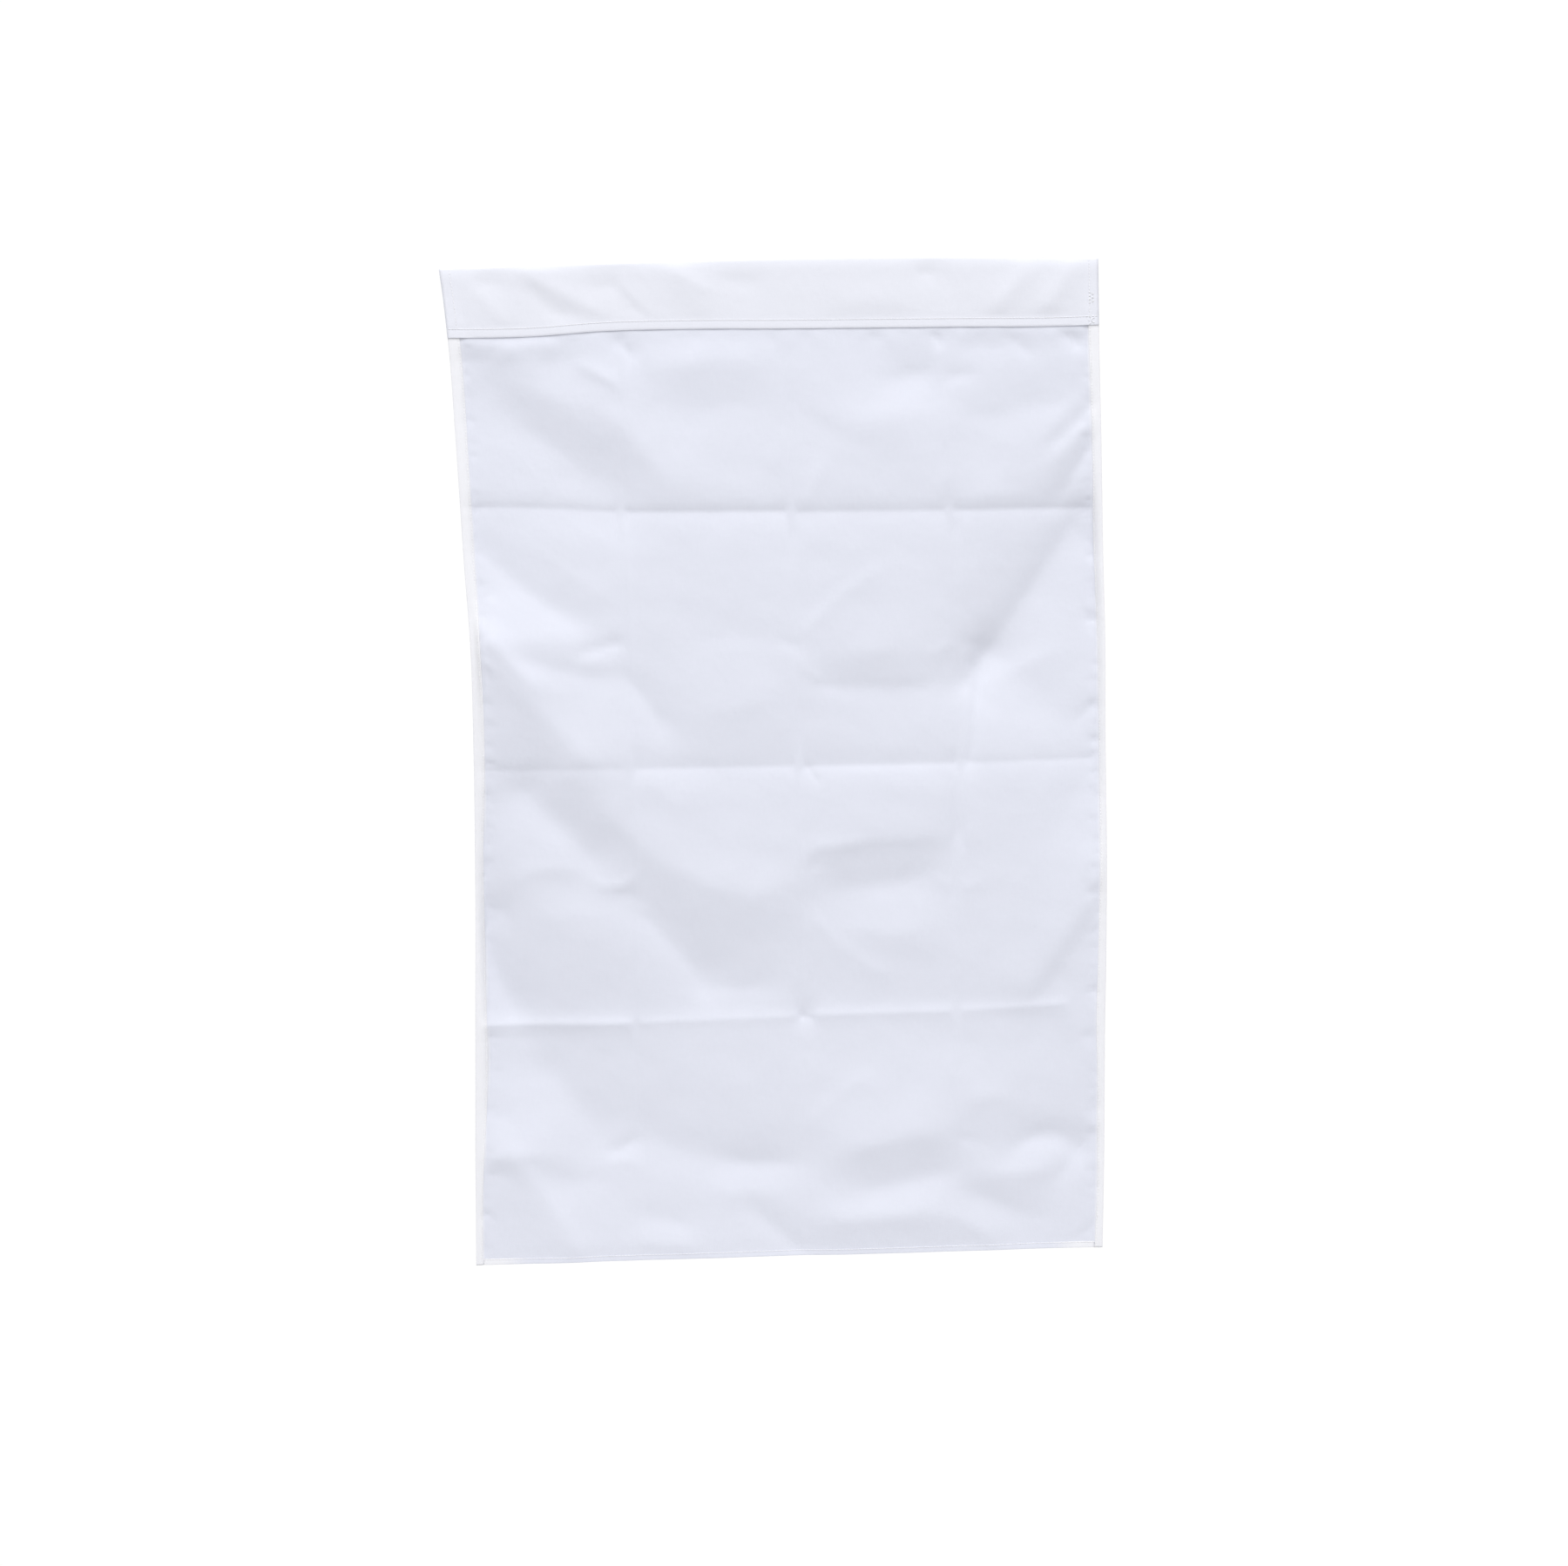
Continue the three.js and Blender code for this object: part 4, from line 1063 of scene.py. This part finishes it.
def as_angle(name, description, degrees):
    """A setting that is an angle, given here in degrees."""
    return as_number(name, description, np.radians(degrees), subtype="ANGLE")


def as_count(name, description, default, **limits):
    """A setting that is a whole number."""
    return bpy.props.IntProperty(name=name, description=description, default=default, **limits)


def as_colour(name, description, default):
    """A setting that is a colour."""
    return bpy.props.FloatVectorProperty(
        name=name, description=description, default=default, subtype="COLOR", size=3, min=0, max=1)


class FlagClothSettings(bpy.types.PropertyGroup):
    """Sizes and colours of the flag's cloth and sewing."""

    cloth_thickness: as_length("Cloth thickness", "Thickness of one layer of cloth", 0.0003, min=0.0002, max=0.0015)
    fold_depth: as_number(
        "Fold depth", "Depth of the panel's folds, as a share of their listed depth",
        1.0, min=0.0, max=1.5, subtype="FACTOR")
    hem_bottom: as_length("Bottom hem", "Width of the hem along the bottom", 0.007, min=0.004, max=0.03)
    hem_thickness: as_length(
        "Hem thickness", "How far a hem stands above the cloth that it is sewn to", 0.0009, min=0.0004, max=0.003)
    end_bulge: as_length(
        "End bulge", "How far the hems under the lip push its two ends out", 0.00105, min=0.0, max=0.004)
    stitch_pitch: as_length("Stitch pitch", "Length from one stitch to the next", 0.0034, min=0.002, max=0.006)
    thread_width: as_length("Thread width", "Diameter of the sewing thread", 0.00058, min=0.0002, max=0.001)
    crumple_slope: as_number("Crumple", "Mean slope of the soft crumple between the folds", 0.018, min=0.0, max=0.1)
    crumple_short: as_length("Shortest crumple", "Shortest wave of the crumple", 0.022, min=0.012, max=0.1)
    crumple_long: as_length("Longest crumple", "Longest wave of the crumple", 0.07, min=0.02, max=0.2)
    crumple_waves: as_count("Crumple waves", "How many waves make up the crumple", 28, min=4, max=80)
    crumple_seed: as_count("Crumple seed", "Another number gives another crumple", 5, min=0)
    pucker_seed: as_count("Pucker seed", "Another number gives other puckers at the hems", 8, min=0)
    cloth_colour: as_colour("Cloth", "Colour of the single cloth", (0.652, 0.668, 0.748))
    hem_colour: as_colour("Hem", "Colour of the hems, where several layers lie together", (0.748, 0.750, 0.786))
    thread_colour: as_colour("Thread", "Colour of the sewing thread", (0.82, 0.82, 0.84))


class FlagStageSettings(bpy.types.PropertyGroup):
    """The camera, the light, the floor and the room."""

    camera_x: as_length("Camera x", "Camera place along x", 0.0042)
    camera_y: as_length("Camera y", "Camera place along y", -2.3842)
    camera_z: as_length("Camera z", "Camera place along z", -0.4004)
    camera_down: as_angle("Camera down", "How far the camera looks down", 4)
    camera_roll: as_angle("Camera roll", "How far the camera is rolled", 1.3)
    lens: as_number("Lens", "Focal length in millimetres", 50)
    key_watts: as_number("Key light", "Power of the soft light above and in front", 690, min=0)
    key_angle: as_angle("Key angle", "Elevation of the key light", 62)
    key_distance: as_length("Key distance", "Distance of the key light from the flag", 8.5, min=0.5)
    key_size: as_length("Key size", "Side of the square key light", 4.4, min=0.1)
    floor_z: as_length("Floor", "Height of the floor", -2.05)
    floor_radius: as_length("Floor radius", "Radius of the round floor", 1.2)
    room_white: as_number("Room white", "Brightness of the room as it is seen", 1.02, min=0)
    room_level: as_number("Room light", "Brightness of the room's light at eye level", 0.9, min=0)
    room_above: as_number("Room above", "Brightness of the room's light high up and low down", 0.4, min=0)


class FLAG_OT_cloth(bpy.types.Operator):
    """Make the cloth with its sleeve, and its three hems"""
    bl_idname = "flag.cloth"
    bl_label = "Make Cloth"

    def execute(self, context):
        settings = context.scene.flag_cloth
        surface = Surface(settings)
        cloth, cut = make_cloth(settings, surface)
        hems = [make_side_hem(settings, surface, side) for side in (0, 1)]
        hems.append(make_bottom_hem(settings, surface))
        for piece in (cloth, *hems):
            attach(piece, "root")
        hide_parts("panel", "pole_sleeve")
        context.scene["flag_cut"] = (float(np.ptp(cut[..., 0])), float(np.ptp(cut[..., 1])))
        return {"FINISHED"}


class FLAG_OT_stitches(bpy.types.Operator):
    """Make the rows of stitches along the sleeve and the hems"""
    bl_idname = "flag.stitches"
    bl_label = "Make Stitches"

    def execute(self, context):
        settings = context.scene.flag_cloth
        surface = Surface(settings)
        thread = thread_material(settings)
        half = settings.cloth_thickness / 2
        across = np.linspace(SEAM_INSET, 1 - SEAM_INSET, SEAM_SAMPLES)
        line, normals = seam_line(surface, (LIP_FRONT, 0, SEAM_FRONT_SHARE), across)
        front = stitch_row("seam_front", settings, line, -normals, half)
        line, normals = seam_line(surface, (BAND, 0, SEAM_BACK_SHARE), across)
        back = stitch_row("seam_back", settings, line, -normals, half)
        tacks = [stitch_row("tack", settings, *tack_line(surface, *tack), half) for tack in TACKS]
        rows = [merge_pieces("sleeve_stitches", [front, back, *tacks], thread)]
        lift = half + settings.hem_thickness * STITCH_SINK
        for side, name in enumerate(("side_stitches_left", "side_stitches_right")):
            line, normals = side_line(surface, side, (BAND,))
            inner = stitch_row("inner", settings, line, normals, lift)
            line, normals = side_line(surface, side, (FRONT, TOP, BACK, BAND))
            outer = stitch_row("outer", settings, line, -normals, half)
            rows.append(merge_pieces(name, [inner, outer], thread))
        place = 1 - SEAM_PLACE * settings.hem_bottom / MM / LAST_BAND_HEIGHT
        inset = hem_width(bottom_edge(0.0), 0) / (RIGHT_CORNER - LEFT_CORNER)
        across = np.linspace(inset, 1 - inset, SEAM_SAMPLES)
        line, normals = seam_line(surface, (BAND, LAST_BAND, place), across)
        rows.append(merge_pieces("bottom_stitches", [
            stitch_row("inner", settings, line, normals, half + float(bottom_thickness_at(settings, SEAM_PLACE))),
            stitch_row("outer", settings, line, -normals, half),
        ], thread))
        for piece in rows:
            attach(piece, "root")
        return {"FINISHED"}


class FLAG_OT_stage(bpy.types.Operator):
    """Make the camera, the light, the room and the floor"""
    bl_idname = "flag.stage"
    bl_label = "Make Stage"

    def execute(self, context):
        stage = context.scene.flag_stage
        make_camera(stage)
        make_light(stage)
        make_room(stage)
        make_floor(stage)
        context.scene.view_settings.view_transform = "Standard"
        context.scene.view_settings.look = "None"
        return {"FINISHED"}


def make_camera(stage):
    """The camera at the photograph's place, tilted down and rolled."""
    data = bpy.data.cameras.new("camera")
    data.lens = stage.lens
    data.sensor_width = SENSOR_WIDTH
    camera = bpy.data.objects.new("camera", data)
    bpy.context.scene.collection.objects.link(camera)
    down, roll = stage.camera_down, stage.camera_roll
    forward = Vector((0, np.cos(down), -np.sin(down)))
    level = forward.cross(Vector((0, 0, 1))).normalized()
    upright = level.cross(forward)
    right = np.cos(roll) * level - np.sin(roll) * upright
    up = np.sin(roll) * level + np.cos(roll) * upright
    turn = Matrix((right, up, -forward)).transposed().to_4x4()
    camera.matrix_world = Matrix.Translation((stage.camera_x, stage.camera_y, stage.camera_z)) @ turn
    bpy.context.scene.camera = camera


def make_light(stage):
    """A large square light above and in front, turned to the middle of the flag."""
    data = bpy.data.lights.new("key", "AREA")
    data.shape = "SQUARE"
    data.size = stage.key_size
    data.energy = stage.key_watts
    light = bpy.data.objects.new("key", data)
    bpy.context.scene.collection.objects.link(light)
    target = Vector((0, 0, (PANEL_BOX[0].z + SLEEVE_BOX[1].z) / 2))
    away = Vector((0, -np.cos(stage.key_angle), np.sin(stage.key_angle)))
    light.location = target + away * stage.key_distance
    light.rotation_euler = away.to_track_quat("Z", "Y").to_euler()


def make_room(stage):
    """A room that looks white and lights the flag softly: bright at eye level and dimmer above and below."""
    world = bpy.data.worlds.new("room")
    bpy.context.scene.world = world
    world.use_nodes = True
    tree = world.node_tree
    place = add_node(tree, "ShaderNodeTexCoord")
    split = add_node(tree, "ShaderNodeSeparateXYZ", {"Vector": place.outputs["Generated"]})
    height = add_node(tree, "ShaderNodeMath", {0: split.outputs["Z"]}, operation="ABSOLUTE")
    ramp = add_node(tree, "ShaderNodeMapRange", {
        "Value": height.outputs["Value"], "From Min": ROOM_LOW, "From Max": ROOM_HIGH,
        "To Min": stage.room_level, "To Max": stage.room_above}, interpolation_type="SMOOTHSTEP")
    path = add_node(tree, "ShaderNodeLightPath")
    seen = add_node(tree, "ShaderNodeMix", {
        "Factor": path.outputs["Is Camera Ray"], "A": ramp.outputs["Result"], "B": stage.room_white},
        data_type="FLOAT")
    background = tree.nodes["Background"]
    tree.links.new(seen.outputs["Result"], background.inputs["Strength"])
    background.inputs["Color"].default_value = (1, 1, 1, 1)


def make_floor(stage):
    """A round pale floor, well below the flag and out of the camera's view."""
    turns = np.linspace(0, 2 * np.pi, FLOOR_SIDES, endpoint=False)
    rim = np.stack([np.cos(turns), np.sin(turns), 0 * turns], -1) * stage.floor_radius
    points = rim + (0, 0, stage.floor_z)
    floor = link_mesh("floor", points, [list(range(len(turns)))])
    tone = (FLOOR_TONE, FLOOR_TONE, FLOOR_TONE, 1)
    floor.data.materials.append(new_material("floor", {"Base Color": tone, "Roughness": 0.9})[0])
    return floor


class VIEW3D_PT_flag(bpy.types.Panel):
    """Sizes, colours and buttons of the flag"""
    bl_label = "Garden Flag"
    bl_space_type = "VIEW_3D"
    bl_region_type = "UI"
    bl_category = "Flag"

    def draw(self, context):
        for settings in (context.scene.flag_cloth, context.scene.flag_stage):
            column = self.layout.column(align=True)
            for name in settings.__annotations__:
                column.prop(settings, name)
        for operator in (FLAG_OT_cloth, FLAG_OT_stitches, FLAG_OT_stage):
            self.layout.operator(operator.bl_idname)


CLASSES = (FlagClothSettings, FlagStageSettings, FLAG_OT_cloth, FLAG_OT_stitches, FLAG_OT_stage, VIEW3D_PT_flag)


def register():
    for cls in CLASSES:
        bpy.utils.register_class(cls)
    bpy.types.Scene.flag_cloth = bpy.props.PointerProperty(type=FlagClothSettings)
    bpy.types.Scene.flag_stage = bpy.props.PointerProperty(type=FlagStageSettings)


def unregister():
    del bpy.types.Scene.flag_stage
    del bpy.types.Scene.flag_cloth
    for cls in reversed(CLASSES):
        bpy.utils.unregister_class(cls)


def main():
    register()
    bpy.ops.flag.cloth()
    bpy.ops.flag.stitches()
    bpy.ops.flag.stage()
    bpy.context.view_layer.update()


if __name__ == "__main__":
    main()
